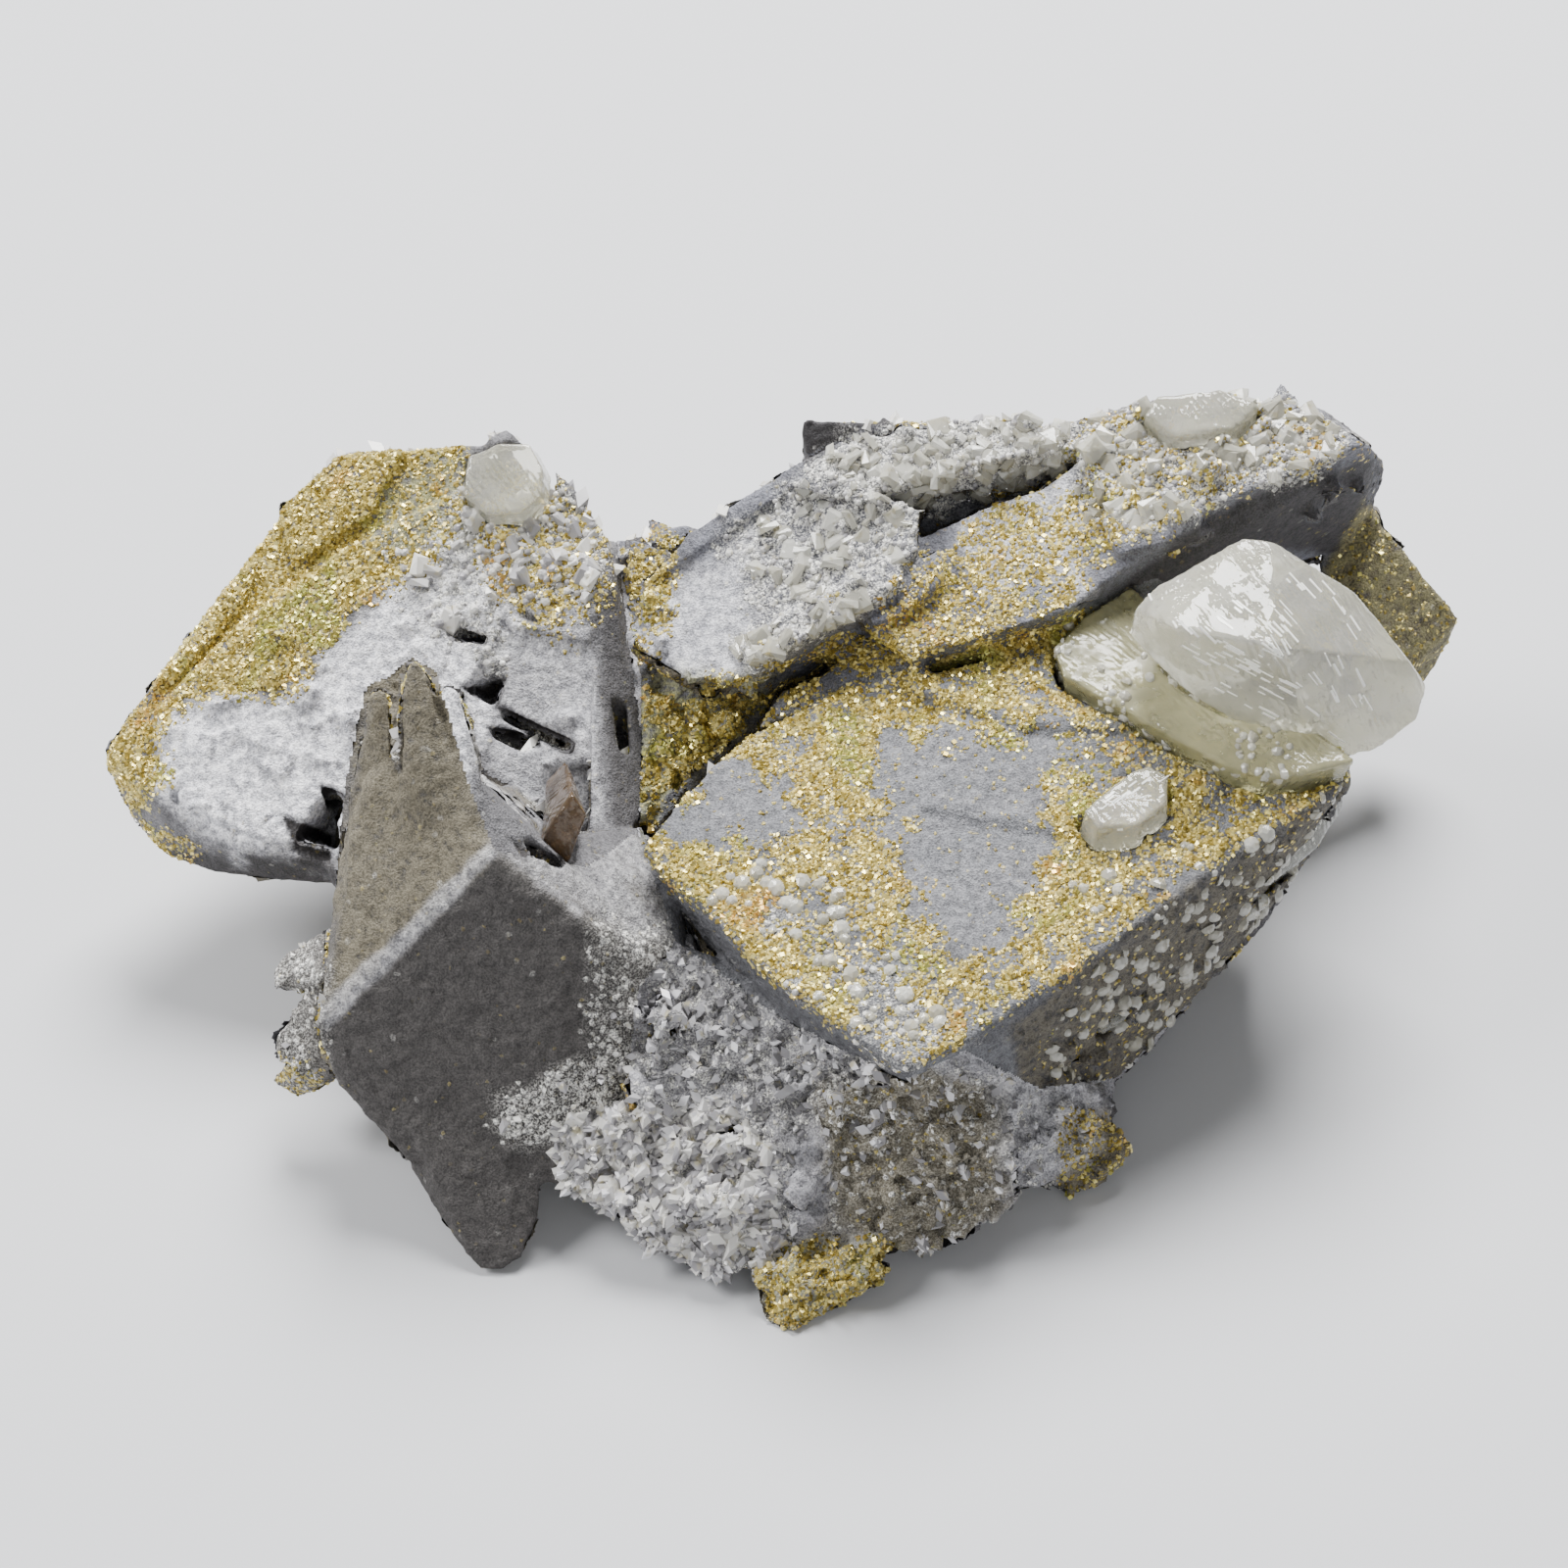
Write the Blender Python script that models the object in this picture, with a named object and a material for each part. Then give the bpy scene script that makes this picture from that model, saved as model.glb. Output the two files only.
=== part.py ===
"""Calcite and pyrite cluster: dark intergrown calcite crystals on a broken matrix, with a second growth of clear calcite.

Lengths are in millimetres up to the point where a mesh is made. +X runs along the cluster, +Y to its back and
+Z up, and the origin is on the rest plane under the middle of the cluster.
"""

import math
import random

import bmesh
import bpy
from mathutils import Matrix, Vector
from mathutils.bvhtree import BVHTree

MM = 0.001

# The sight lines. A visible corner is placed by where it shows in the picture, in pixels, and by its height.
PICTURE_MIDDLE = 800.0
PIXELS_PER_MM = 17.3
VIEW_TILT_DEG = 48.0
VIEW_DISTANCE = 220.0
AIM = Vector((0.3, 2.15, 13.9))

TILT = math.radians(VIEW_TILT_DEG)
SIGHT = Vector((0.0, math.cos(TILT), -math.sin(TILT)))
PICTURE_UP = Vector((0.0, math.sin(TILT), math.cos(TILT)))
EYE = AIM - SIGHT * VIEW_DISTANCE

# Moves the whole cluster so that the middle of its box is on the origin.
CENTRING = Vector((-0.9, -1.15, 0.0))

# The gap between a clear crystal and the pocket that it grew in.
SEAT_GAP = 0.4
SEED = 7


def sight_line(px, py):
    """The direction from the eye through a point of the picture."""
    reach = VIEW_DISTANCE * PIXELS_PER_MM
    across = Vector((1, 0, 0)) * ((px - PICTURE_MIDDLE) / reach)
    up = PICTURE_UP * ((PICTURE_MIDDLE - py) / reach)
    return (SIGHT + across + up).normalized()


def seen(px, py, height):
    """The point at that height on the picture point's sight line."""
    ray = sight_line(px, py)
    return EYE + ray * ((height - EYE.z) / ray.z)


class Face:
    """A flat crystal face, through a seen point, dipping by dip degrees. Toward 0 dips to the front, 90 to +X."""

    def __init__(self, px, py, height, dip, toward):
        self.point = seen(px, py, height)
        dip, toward = math.radians(dip), math.radians(toward)
        level = math.sin(dip)
        self.normal = Vector((level * math.sin(toward), -level * math.cos(toward), math.cos(dip)))

    def at(self, px, py, proud=0.0):
        """The point of the face, or of a plane standing proud of it, on a picture point's sight line."""
        ray = sight_line(px, py)
        base = self.point + self.normal * proud
        return EYE + ray * ((base - EYE).dot(self.normal) / ray.dot(self.normal))

    def outline(self, pixels, proud=0.0):
        return [self.at(px, py, proud) for px, py in pixels]


def middle(points):
    return sum(points, Vector()) / len(points)


def slab(face, pixels, thick, shrink=0.8, proud=0.0, drift=(0, 0, 0)):
    """The corners of a tabular crystal: its face's outline, and the same outline shrunk, thick below it."""
    top = face.outline(pixels, proud)
    core = middle(top)
    sunk = Vector(drift) - face.normal * thick
    return top + [core + (p - core) * shrink + sunk for p in top]


def seen_all(corners):
    return [seen(*corner) for corner in corners]


def points(*corners):
    return [Vector(corner) for corner in corners]


def hull_mesh(name, corners):
    """A closed convex mesh round the corners, in metres."""
    bm = bmesh.new()
    for corner in corners:
        bm.verts.new((corner + CENTRING) * MM)
    made = bmesh.ops.convex_hull(bm, input=bm.verts)
    inside = {e for e in made["geom_interior"] + made["geom_unused"] if isinstance(e, bmesh.types.BMVert)}
    bmesh.ops.delete(bm, geom=list(inside), context="VERTS")
    bmesh.ops.recalc_face_normals(bm, faces=bm.faces)
    mesh = bpy.data.meshes.new(name)
    bm.to_mesh(mesh)
    bm.free()
    return mesh


def helper(name, corners, collection):
    """A convex shape that only takes part in a Boolean."""
    obj = bpy.data.objects.new(name, hull_mesh(name, corners))
    obj.hide_render = True
    obj.display_type = "WIRE"
    collection.objects.link(obj)
    return obj


def new_collection(name):
    made = bpy.data.collections.new(name)
    bpy.context.scene.collection.children.link(made)
    return made


def finish(name, colour, roughness, metallic=0.0, transmission=0.0):
    """A plain material for one kind of crystal."""
    material = bpy.data.materials.new(name)
    material.use_nodes = True
    shader = material.node_tree.nodes["Principled BSDF"]
    shader.inputs["Base Color"].default_value = (*colour, 1.0)
    shader.inputs["Roughness"].default_value = roughness
    shader.inputs["Metallic"].default_value = metallic
    shader.inputs["Transmission Weight"].default_value = transmission
    return material


# The faces that the dark crystals show, each with its height, its dip and where it dips to.
LEFT_FACE = Face(345, 640, 18.5, 34, -8)
SADDLE_FACE = Face(550, 870, 18.4, 28, 10)
RIGHT_FACE = Face(950, 900, 17.0, 11, -6)
RIDGE_LEFT_FACE = Face(780, 600, 23.0, 27, -30)
RIDGE_MID_FACE = Face(1050, 570, 24.5, 22, -12)
RIDGE_CREST_FACE = Face(1150, 470, 27.0, 20, -4)


def left_crystal():
    """The big tabular crystal on the left, with a plate on it and the facets of its lower edge."""
    body = slab(
        LEFT_FACE,
        [(109, 768), (152, 702), (238, 588), (292, 518), (345, 462), (440, 455), (530, 452), (585, 492),
         (622, 548), (612, 640), (606, 760), (590, 860), (470, 905), (330, 880), (250, 868), (165, 826)],
        9.0,
        0.62,
    )
    body += seen_all([(108, 778, 11.5), (128, 822, 9.5), (147, 850, 8.0), (168, 873, 7.5), (215, 890, 7.5)])
    body += seen_all([(332, 902, 8.0), (640, 640, 17.0), (652, 760, 13.5), (655, 850, 11.0)])
    plate = slab(
        LEFT_FACE,
        [(158, 724), (240, 640), (350, 560), (470, 500), (545, 560), (492, 632), (468, 690), (430, 800),
         (330, 868), (262, 856), (196, 826), (166, 800)],
        1.6,
        1.0,
        0.55,
    )
    upper = slab(LEFT_FACE, [(548, 560), (612, 570), (606, 640), (600, 655), (520, 640), (500, 600)], 1.4, 1.0, 0.45)
    knob = slab(LEFT_FACE, [(150, 705), (240, 590), (262, 566), (250, 610), (180, 690)], 1.5, 0.9, 0.5)
    step = slab(LEFT_FACE, [(282, 520), (345, 463), (410, 458), (380, 520), (300, 575)], 1.8, 0.9, 0.7)
    return {"left_body": body, "left_plate": plate, "left_upper": upper, "left_knob": knob, "left_step": step}


def front_crystal():
    """The dark spearhead in front: its body, three finger tips at the top and the tongue that it stands on."""
    ridge_top = seen(500, 872, 20.5)
    body = [ridge_top] + seen_all(
        [(462, 775, 22.6), (405, 775, 22.2), (376, 790, 21.4), (345, 880, 16.5),
         (332, 980, 13.5), (328, 1034, 12.0), (326, 1060, 10.5), (345, 1108, 8.0), (420, 1190, 4.5),
         (540, 1155, 5.5), (590, 1215, 3.5), (650, 1140, 6.0), (690, 1010, 11.0), (650, 950, 14.5),
         (560, 915, 18.2), (492, 800, 22.3)]
    )
    body += points((-22, 4, 10), (-12, 6, 6), (-10, -10, 1.5), (-24, -6, 3.5))
    fingers = {
        "finger_left": seen_all([(379, 706, 24.6), (388, 700, 25.2), (397, 708, 25.0), (400, 740, 23.6), (364, 795, 20.2),
                                 (346, 880, 16.4), (398, 850, 18.8)]) + points((-23, 2, 18)),
        "finger_middle": seen_all([(404, 735, 25.2), (410, 699, 26.6), (417, 677, 27.4), (423, 674, 27.6),
                                   (432, 683, 27.2), (442, 698, 26.6), (450, 760, 24.0), (462, 850, 20.6),
                                   (405, 790, 22.6), (410, 880, 18.6)]) + points((-20.5, 4, 20)),
        "finger_right": seen_all([(448, 706, 26.0), (453, 697, 26.4), (467, 702, 26.0), (475, 733, 24.8),
                                  (487, 774, 23.4), (496, 827, 21.6), (500, 866, 20.4), (456, 840, 21.0),
                                  (450, 745, 24.6)]) + points((-18.0, 2, 19)),
    }
    tongue = seen_all(
        [(420, 1150, 6.8), (452, 1120, 7.8), (535, 1150, 6.2), (556, 1195, 4.2), (549, 1245, 2.2), (533, 1286, 0.9),
         (512, 1298, 0.3), (487, 1296, 0.4), (468, 1270, 1.0), (418, 1192, 3.2)]
    ) + points((-19, -14, 0.6), (-16, -16, 0.3), (-15, -12, 2.0), (-21, -12, 3.0))
    shoulder = seen_all(
        [(500, 874, 20.4), (545, 905, 18.8), (600, 942, 16.8), (648, 962, 14.6), (690, 1000, 11.8), (640, 1090, 8.8),
         (600, 1110, 8.4), (575, 960, 15.5), (588, 1060, 11.0)]
    ) + points((-12, 0, 10), (-8, -6, 8))
    flank = {
        "shard_top": seen_all([(300, 985, 9.0), (286, 978, 9.5), (275, 992, 9.0), (282, 1010, 8.2), (305, 1012, 8.0),
                               (325, 950, 11.5), (335, 1000, 11.0)]) + points((-22, -6, 9)),
        "shard_middle": seen_all([(318, 1000, 10.0), (300, 1040, 8.0), (278, 1060, 6.8), (282, 1085, 5.8),
                                  (318, 1090, 6.5), (335, 1030, 9.0)]) + points((-22, -8, 7)),
        "shard_low": seen_all([(276, 1105, 3.6), (292, 1082, 5.4), (312, 1078, 6.0), (338, 1095, 6.4), (322, 1112, 4.2),
                               (300, 1120, 3.2), (345, 1060, 8.5)]) + points((-22, -10, 5)),
    }
    return {"front_body": body, "front_tongue": tongue, "front_shoulder": shoulder, **fingers, **flank}


def saddle():
    """The dusty saddle that joins the three big crystals, and the floor of the pocket behind it."""
    return {
        "saddle_low": seen_all([(505, 862, 19.6), (600, 850, 15.4), (655, 845, 14.2), (680, 900, 14.4), (700, 980, 12.6),
                                (650, 970, 14.0), (585, 930, 16.8)]) + points((-12, 4, 6), (-4, -6, 6)),
        "saddle_wall": seen_all([(618, 560, 20.5), (636, 600, 18.8), (655, 700, 15.0), (662, 830, 13.4), (600, 870, 14.6),
                                 (604, 700, 18.0)]) + points((-10, 10, 8), (-6, 6, 6)),
        "pocket_floor": seen_all([(640, 545, 20.0), (685, 560, 19.6), (730, 690, 15.5), (790, 700, 16.5),
                                  (740, 770, 14.6), (660, 850, 13.0), (640, 700, 13.2)]) + points((-2, 8, 5), (4, 2, 6)),
        "pocket_right": points((12, 8, 12), (22, 6, 12), (22, 12, 12), (12, 14, 12), (17.7, 9.0, 21.6), (16, 11.5, 20.5),
                               (20, 11, 20.5)),
    }


def right_crystal():
    """The big rhombic crystal on the right, its steep flanks and the steps on its top face."""
    top = [(655, 868), (700, 802), (765, 748), (850, 708), (1000, 655), (1095, 622), (1230, 620), (1330, 700),
           (1378, 778), (1368, 800), (1200, 906), (1090, 993), (985, 1062), (926, 1092), (880, 1063), (780, 990)]
    body = slab(RIGHT_FACE, top, 7.0, 0.86)
    body += seen_all([(1380, 800, 15.5), (1366, 830, 12.5), (1292, 934, 8.0), (1200, 1008, 5.0), (1128, 1120, 2.6),
                      (1040, 1170, 3.0), (930, 1130, 9.5), (700, 930, 13.0), (800, 1050, 9.5)])
    body += points((30, 2, 4), (20, -8, 0.8), (12, 10, 3), (0, -10, 4))
    upper_step = slab(
        RIGHT_FACE, [(900, 692), (1000, 657), (1095, 625), (1170, 640), (1230, 700), (1180, 745), (1040, 740)],
        1.4, 1.0, 0.7)
    far_step = slab(
        RIGHT_FACE, [(960, 720), (1060, 700), (1180, 720), (1250, 800), (1190, 860), (1090, 850), (1075, 790), (940, 825)],
        1.0, 1.0, 0.3)
    return {"right_body": body, "right_upper_step": upper_step, "right_far_step": far_step}


def back_ridge():
    """The stack of thick plates behind, each stepping over the next, with a rough crust on the crest."""
    left = slab(
        RIDGE_LEFT_FACE,
        [(638, 655), (660, 608), (700, 560), (770, 508), (868, 452), (940, 470), (935, 560), (905, 604), (830, 642),
         (762, 694), (705, 694)],
        8.0, 0.8)
    mid = slab(
        RIDGE_MID_FACE,
        [(868, 612), (888, 590), (940, 548), (1000, 520), (1090, 476), (1180, 470), (1230, 522), (1170, 560),
         (1108, 600), (1092, 622), (1000, 652), (930, 672), (884, 640)],
        7.0, 0.85)
    lower = slab(
        RIDGE_MID_FACE,
        [(770, 745), (800, 700), (870, 640), (930, 600), (1010, 592), (1100, 590), (1090, 622), (1000, 655),
         (850, 708)],
        8.0, 0.9, -2.2)
    lip = slab(RIDGE_LEFT_FACE, [(752, 660), (790, 630), (905, 570), (925, 590), (905, 606), (762, 682)], 1.4, 0.9, 0.6)
    block = slab(
        RIDGE_CREST_FACE,
        [(985, 480), (1060, 440), (1160, 410), (1250, 402), (1345, 420), (1400, 456), (1330, 482), (1236, 522),
         (1130, 560), (1080, 540)],
        9.0, 0.92)
    block += seen_all([(1110, 640, 20.4), (1100, 622, 21.5), (1190, 600, 17.5), (1290, 575, 16.0), (1385, 555, 14.5),
                       (1413, 490, 19.5), (1412, 470, 21.5)])
    crust_left = slab(
        RIDGE_CREST_FACE,
        [(800, 496), (868, 450), (905, 442), (1000, 426), (1050, 428), (1090, 452), (1060, 490), (1000, 506),
         (940, 522), (896, 514)],
        2.8, 0.85, 1.3)
    crust_right = slab(
        RIDGE_CREST_FACE,
        [(1098, 470), (1105, 436), (1165, 408), (1245, 398), (1290, 414), (1350, 422), (1398, 452), (1325, 478),
         (1230, 520), (1135, 515)],
        2.4, 0.92, 1.1)
    edge = slab(RIDGE_LEFT_FACE, [(655, 600), (700, 545), (800, 480), (860, 448), (868, 458), (775, 512), (700, 566)],
                2.2, 0.9, 0.5)
    plate = slab(RIDGE_MID_FACE, [(1122, 522), (1200, 518), (1232, 520), (1212, 548), (1140, 566)], 1.8, 0.95, 0.8)
    tab = slab(RIDGE_MID_FACE, [(872, 612), (900, 588), (960, 560), (965, 590), (930, 620), (892, 638)], 2.0, 0.9, 0.9)
    spine = seen_all([(1000, 440, 27.5), (1200, 420, 28.0), (1330, 440, 25.0), (860, 470, 24.5), (720, 570, 20.0)])
    spine += points((-2, 22, 4), (14, 25, 3), (30, 22, 4), (-8, 16, 5), (24, 8, 3), (4, 8, 3))
    return {"ridge_left": left, "ridge_mid": mid, "ridge_lower": lower, "ridge_lip": lip, "ridge_block": block,
            "crust_left": crust_left, "crust_right": crust_right, "ridge_edge": edge, "ridge_plate": plate,
            "ridge_tab": tab, "ridge_spine": spine}


def back_steps():
    """Broken blocks on the back, which steps down in cleavage faces."""
    return {
        "back_left": points((-14, 17, 3), (-2, 23, 4), (-4, 25, 10), (-12, 22, 14), (-6, 22, 16), (-14, 14, 12),
                            (0, 20, 14), (-2, 18, 3)),
        "back_middle": points((2, 24, 6), (13, 27.4, 7), (16, 27.8, 14), (5, 26, 17), (8, 22, 20), (18, 22, 18),
                              (2, 20, 12), (16, 20, 5)),
        "back_right": points((20, 24, 2), (31, 21, 3), (35, 17, 8), (33, 20, 14), (24, 25, 12), (20, 20, 16),
                             (30, 14, 15), (24, 14, 3)),
        "back_toe": points((4, 22, 0.6), (17, 24, 0.5), (20, 26, 4), (9, 27.8, 5), (2, 24, 4), (14, 18, 1)),
    }


def outer_crystals():
    """The brown block that leans out behind on the right, and the dark plate behind the crest."""
    brown = seen_all([(1350, 560, 15.0), (1392, 520, 17.0), (1420, 545, 16.5), (1488, 630, 12.0), (1480, 650, 9.5),
                      (1455, 694, 7.0), (1380, 640, 11.0), (1400, 700, 5.0)]) + points((30, 8, 3), (34, 14, 6))
    plate = seen_all([(817, 428, 22.0), (820, 470, 18.5), (990, 432, 22.5), (990, 470, 19.0), (985, 440, 22.4)])
    plate += points((3.0, 19.5, 13.0), (11.0, 19.5, 13.0), (3.0, 24.5, 17.5), (11.0, 25.5, 18.0))
    return {"brown_block": brown, "back_plate": plate}


def matrix():
    """The broken, granular matrix in front, under the crystals, that the cluster rests on."""
    return {
        "matrix_upper": seen_all([(640, 970, 13.0), (690, 960, 13.0), (780, 1000, 11.5), (900, 1100, 10.0),
                                  (860, 1150, 7.0), (700, 1150, 7.0), (640, 1100, 8.5)]) + points((-4, -8, 4), (8, -10, 4)),
        "spear_upper": seen_all([(682, 1009, 13.6), (660, 1043, 11.6), (695, 1047, 11.8), (673, 1074, 9.6),
                                 (679, 1040, 13.2)]) + points((-6.5, -9, 9)),
        "spear_lower": seen_all([(638, 1093, 9.6), (652, 1094, 9.4), (673, 1121, 8.6), (659, 1138, 6.8),
                                 (644, 1118, 9.2)]) + points((-8, -12, 5), (-6.2, -18.4, 4.6)),
        "matrix_left": seen_all([(585, 1160, 5.6), (610, 1130, 7.0), (700, 1130, 7.6), (760, 1180, 6.0), (790, 1290, 2.0),
                                 (720, 1305, 0.9), (650, 1260, 1.4), (592, 1215, 2.6)])
        + points((-10, -14, 0.6), (-2, -14, 0.3), (2, -20, 0.3)),
        "matrix_middle": seen_all([(740, 1160, 7.2), (860, 1100, 9.5), (930, 1150, 8.5), (960, 1260, 2.2),
                                   (880, 1290, 1.2), (790, 1290, 1.8), (750, 1240, 3.8)])
        + points((0, -14, 0), (8, -18, 0), (10, -12, 0)),
        "matrix_block": seen_all([(850, 1110, 10.5), (930, 1085, 11.5), (1000, 1100, 10.6), (1030, 1180, 7.5),
                                  (1030, 1235, 3.8), (940, 1282, 1.0), (880, 1250, 3.0), (845, 1170, 7.0)])
        + points((6, -14, 0), (14, -16, 0), (14, -10, 1)),
        "matrix_cap": seen_all([(905, 1085, 13.2), (960, 1048, 14.6), (985, 1065, 14.4), (990, 1095, 12.6),
                                (930, 1110, 12.0), (880, 1105, 11.6)]) + points((8, -14, 9), (12, -12, 9)),
        "matrix_right": seen_all([(1010, 1100, 9.5), (1070, 1085, 8.8), (1135, 1130, 5.4), (1110, 1200, 1.6),
                                  (1040, 1215, 2.2), (1020, 1160, 6.0)]) + points((14, -12, 0), (20, -10, 0.5)),
        "matrix_nub": seen_all([(1100, 1140, 4.6), (1135, 1142, 4.2), (1152, 1175, 2.2), (1130, 1208, 0.5),
                                (1090, 1222, 0.3), (1060, 1205, 1.0)]) + points((16, -14, 0.2), (18, -12, 2.5)),
        "matrix_foot": seen_all([(762, 1290, 2.2), (780, 1352, 0.1), (800, 1362, 0.0), (860, 1335, 0.3),
                                 (915, 1296, 1.6), (900, 1290, 2.4), (830, 1290, 2.8)])
        + points((0, -22, 0), (4, -22, 0), (2, -20, 2)),
    }


# The broken underside. Its lowest facet is flat, and the cluster rests on it.
REST_OUTLINE = ((-17, -7), (-9, -12), (3, -16), (12, -13), (19, -5), (20, 8), (8, 14), (-8, 11), (-17, 2))
UNDERSIDE_SWELL = 1.08
UNDERSIDE_HEIGHT = 5.0


def underside():
    low = [Vector((x, y, 0)) for x, y in REST_OUTLINE]
    high = [Vector((x * UNDERSIDE_SWELL, y * UNDERSIDE_SWELL, UNDERSIDE_HEIGHT)) for x, y in REST_OUTLINE]
    return {"underside": low + high}


# The cracks and open notches between the plates: picture points, with the depth that each is cut to.
CRACKS = {
    "notch_left": ((LEFT_FACE, [(334, 806), (350, 815), (345, 868), (304, 858), (318, 838)], 5.0)),
    "crack_upper": ((LEFT_FACE, [(478, 702), (494, 688), (516, 693), (503, 722), (492, 716)], 2.4)),
    "crack_top": ((LEFT_FACE, [(455, 641), (478, 649), (498, 651), (496, 659), (472, 656)], 2.4)),
    "crack_long": ((LEFT_FACE, [(508, 723), (586, 760), (583, 770), (508, 733)], 2.6)),
    "crack_short": ((LEFT_FACE, [(498, 743), (548, 752), (546, 761), (535, 769), (500, 751)], 2.2)),
    "pit_smoky": ((SADDLE_FACE, [(524, 852), (575, 880), (580, 890), (545, 880)], 2.0)),
    "crack_crest": ((RIDGE_CREST_FACE, [(884, 512), (940, 530), (1060, 500), (1100, 472), (1100, 462), (1040, 492)], 3.5)),
    "crack_ridge_foot": ((RIDGE_MID_FACE, [(762, 702), (840, 672), (860, 655), (835, 652), (770, 690)], 5.0)),
    "crack_pocket": ((RIDGE_MID_FACE, [(950, 676), (1005, 662), (1000, 652), (940, 662)], 4.0)),
    "pit_pocket_low": ((RIGHT_FACE, [(690, 790), (716, 776), (720, 792), (700, 808)], 5.0)),
    "pit_pocket_high": ((RIGHT_FACE, [(620, 690), (636, 690), (640, 740), (626, 736)], 6.0)),
    "pit_matrix": ((RIGHT_FACE, [(660, 1091), (680, 1095), (680, 1112), (668, 1114)], 8.0)),
}
CRACK_HEADROOM = 4.0


def crack(face, pixels, depth):
    rim = face.outline(pixels)
    return [p + face.normal * CRACK_HEADROOM for p in rim] + [p - face.normal * depth for p in rim]


# The clear second growth: each crystal's corners, as seen points with heights and as plain positions.
def clear_crystals():
    return {
        "clear_crystal_large": seen_all(
            [(1153, 648, 24.0), (1156, 622, 26.0), (1180, 598, 27.2), (1268, 549, 28.2), (1300, 553, 28.0),
             (1382, 602, 25.5), (1440, 676, 22.5), (1456, 700, 20.0), (1448, 735, 18.5), (1402, 766, 17.6),
             (1352, 776, 17.6), (1270, 742, 19.6), (1205, 702, 21.6), (1200, 640, 27.6), (1300, 660, 27.4)]
        ) + points((30.0, 6.5, 17.2), (35.0, 6.0, 16.2), (23.5, 4.8, 19.8), (29.0, 12.0, 18.5)),
        "clear_crystal_edge": seen_all(
            [(1208, 905, 12.8), (1232, 880, 15.0), (1345, 790, 17.0), (1368, 800, 16.2), (1372, 822, 13.8),
             (1318, 888, 10.4), (1262, 922, 9.6), (1236, 928, 9.8), (1260, 862, 16.0)]
        ) + points((24.5, -7.5, 11.5), (31.5, -2.0, 13.0)),
        "clear_crystal_small": slab(
            RIGHT_FACE, [(1106, 826), (1150, 790), (1172, 780), (1192, 792), (1190, 820), (1160, 842), (1120, 845)],
            2.6, 1.1, 1.7),
        "clear_crystal_knob": slab(
            LEFT_FACE, [(472, 505), (478, 466), (510, 452), (540, 452), (554, 478), (552, 505), (530, 524), (495, 524)],
            3.0, 1.05, 2.0),
        "smoky_crystal": seen_all(
            [(584, 810, 21.0), (599, 832, 19.8), (579, 884, 16.8), (550, 867, 17.8), (563, 838, 19.6)]
        ) + points((-12.2, -1.0, 15.0), (-13.6, 0.6, 15.8), (-12.4, 1.8, 16.4)),
        "clear_crystal_crest": slab(
            RIDGE_CREST_FACE, [(1168, 424), (1180, 405), (1245, 397), (1285, 412), (1262, 436), (1200, 445)],
            2.6, 1.05, 2.1),
        "clear_crystal_flank": seen_all(
            [(1104, 1044, 9.2), (1110, 1022, 10.6), (1150, 992, 11.4), (1164, 994, 11.0), (1165, 1012, 9.6),
             (1126, 1048, 8.2)]
        ) + points((18.6, -12.6, 8.6), (20.4, -11.4, 9.2)),
    }


def seat(corners):
    """Each corner swelled to the six points of a small double pyramid, so the pocket clears the crystal all round."""
    steps = [Vector([SEAT_GAP * sign if k == axis else 0 for k in range(3)]) for axis in range(3) for sign in (-1, 1)]
    return [corner + step for corner in corners for step in steps]


# The yellow-green clear mass that the large crystal stands in, round its foot.
def foot():
    return slab(
        RIGHT_FACE,
        [(1075, 660), (1110, 626), (1154, 598), (1200, 640), (1260, 720), (1340, 770), (1384, 776), (1330, 790),
         (1290, 793), (1246, 779), (1180, 731), (1120, 709), (1085, 690)],
        3.2, 0.94, 1.5)


# The druse: fields of small calcite crystals. Each field is a picture point, its reach in pixels, the number of
# crystals, their size and how far they stand up from the surface.
DRUSE_FIELDS = (
    ((700, 1050), (60, 60), 14, 1.1),
    ((800, 1090), (70, 45), 12, 1.1),
    ((640, 1180), (55, 45), 16, 1.5),
    ((700, 1245), (70, 45), 18, 1.5),
    ((770, 1200), (60, 50), 12, 1.4),
    ((830, 1290), (60, 40), 9, 1.2),
    ((950, 1190), (60, 60), 10, 1.2),
    ((1070, 1150), (50, 50), 9, 1.4),
    ((830, 545), (80, 60), 6, 1.0),
    ((960, 460), (90, 30), 8, 1.2),
    ((1200, 450), (110, 35), 10, 1.3),
    ((700, 700), (50, 90), 12, 1.2),
    ((650, 590), (25, 40), 6, 1.4),
    ((1130, 1060), (60, 40), 7, 1.3),
    ((560, 590), (45, 45), 4, 1.1),
    ((1370, 520), (35, 40), 6, 1.2),
    ((310, 1030), (25, 60), 6, 1.1),
)
HIDDEN_DRUSE = 34
HIDDEN_DRUSE_SIZE = 2.2
HIDDEN_MIDDLE = Vector((0, 2, 9))


def druse_crystal(spot, normal, size, rng):
    """A stubby six-sided crystal with pointed ends, half sunk in the surface."""
    lean = Vector((rng.uniform(-1, 1), rng.uniform(-1, 1), rng.uniform(-1, 1))) * 0.8
    axis = (normal + lean).normalized()
    turn = axis.to_track_quat("Z", "Y").to_matrix() @ Matrix.Rotation(rng.uniform(0, math.tau), 3, "Z")
    width = size * rng.uniform(0.38, 0.6)
    tip = size * rng.uniform(0.7, 1.1)
    belt = size * rng.uniform(0.1, 0.35)
    corners = [Vector((0, 0, tip)), Vector((0, 0, -tip))]
    for side in range(3):
        angle = math.tau * side / 3
        corners.append(Vector((width * math.cos(angle), width * math.sin(angle), belt)))
        angle += math.pi / 3
        corners.append(Vector((width * math.cos(angle), width * math.sin(angle), -belt)))
    return [spot + turn @ corner for corner in corners]


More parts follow.
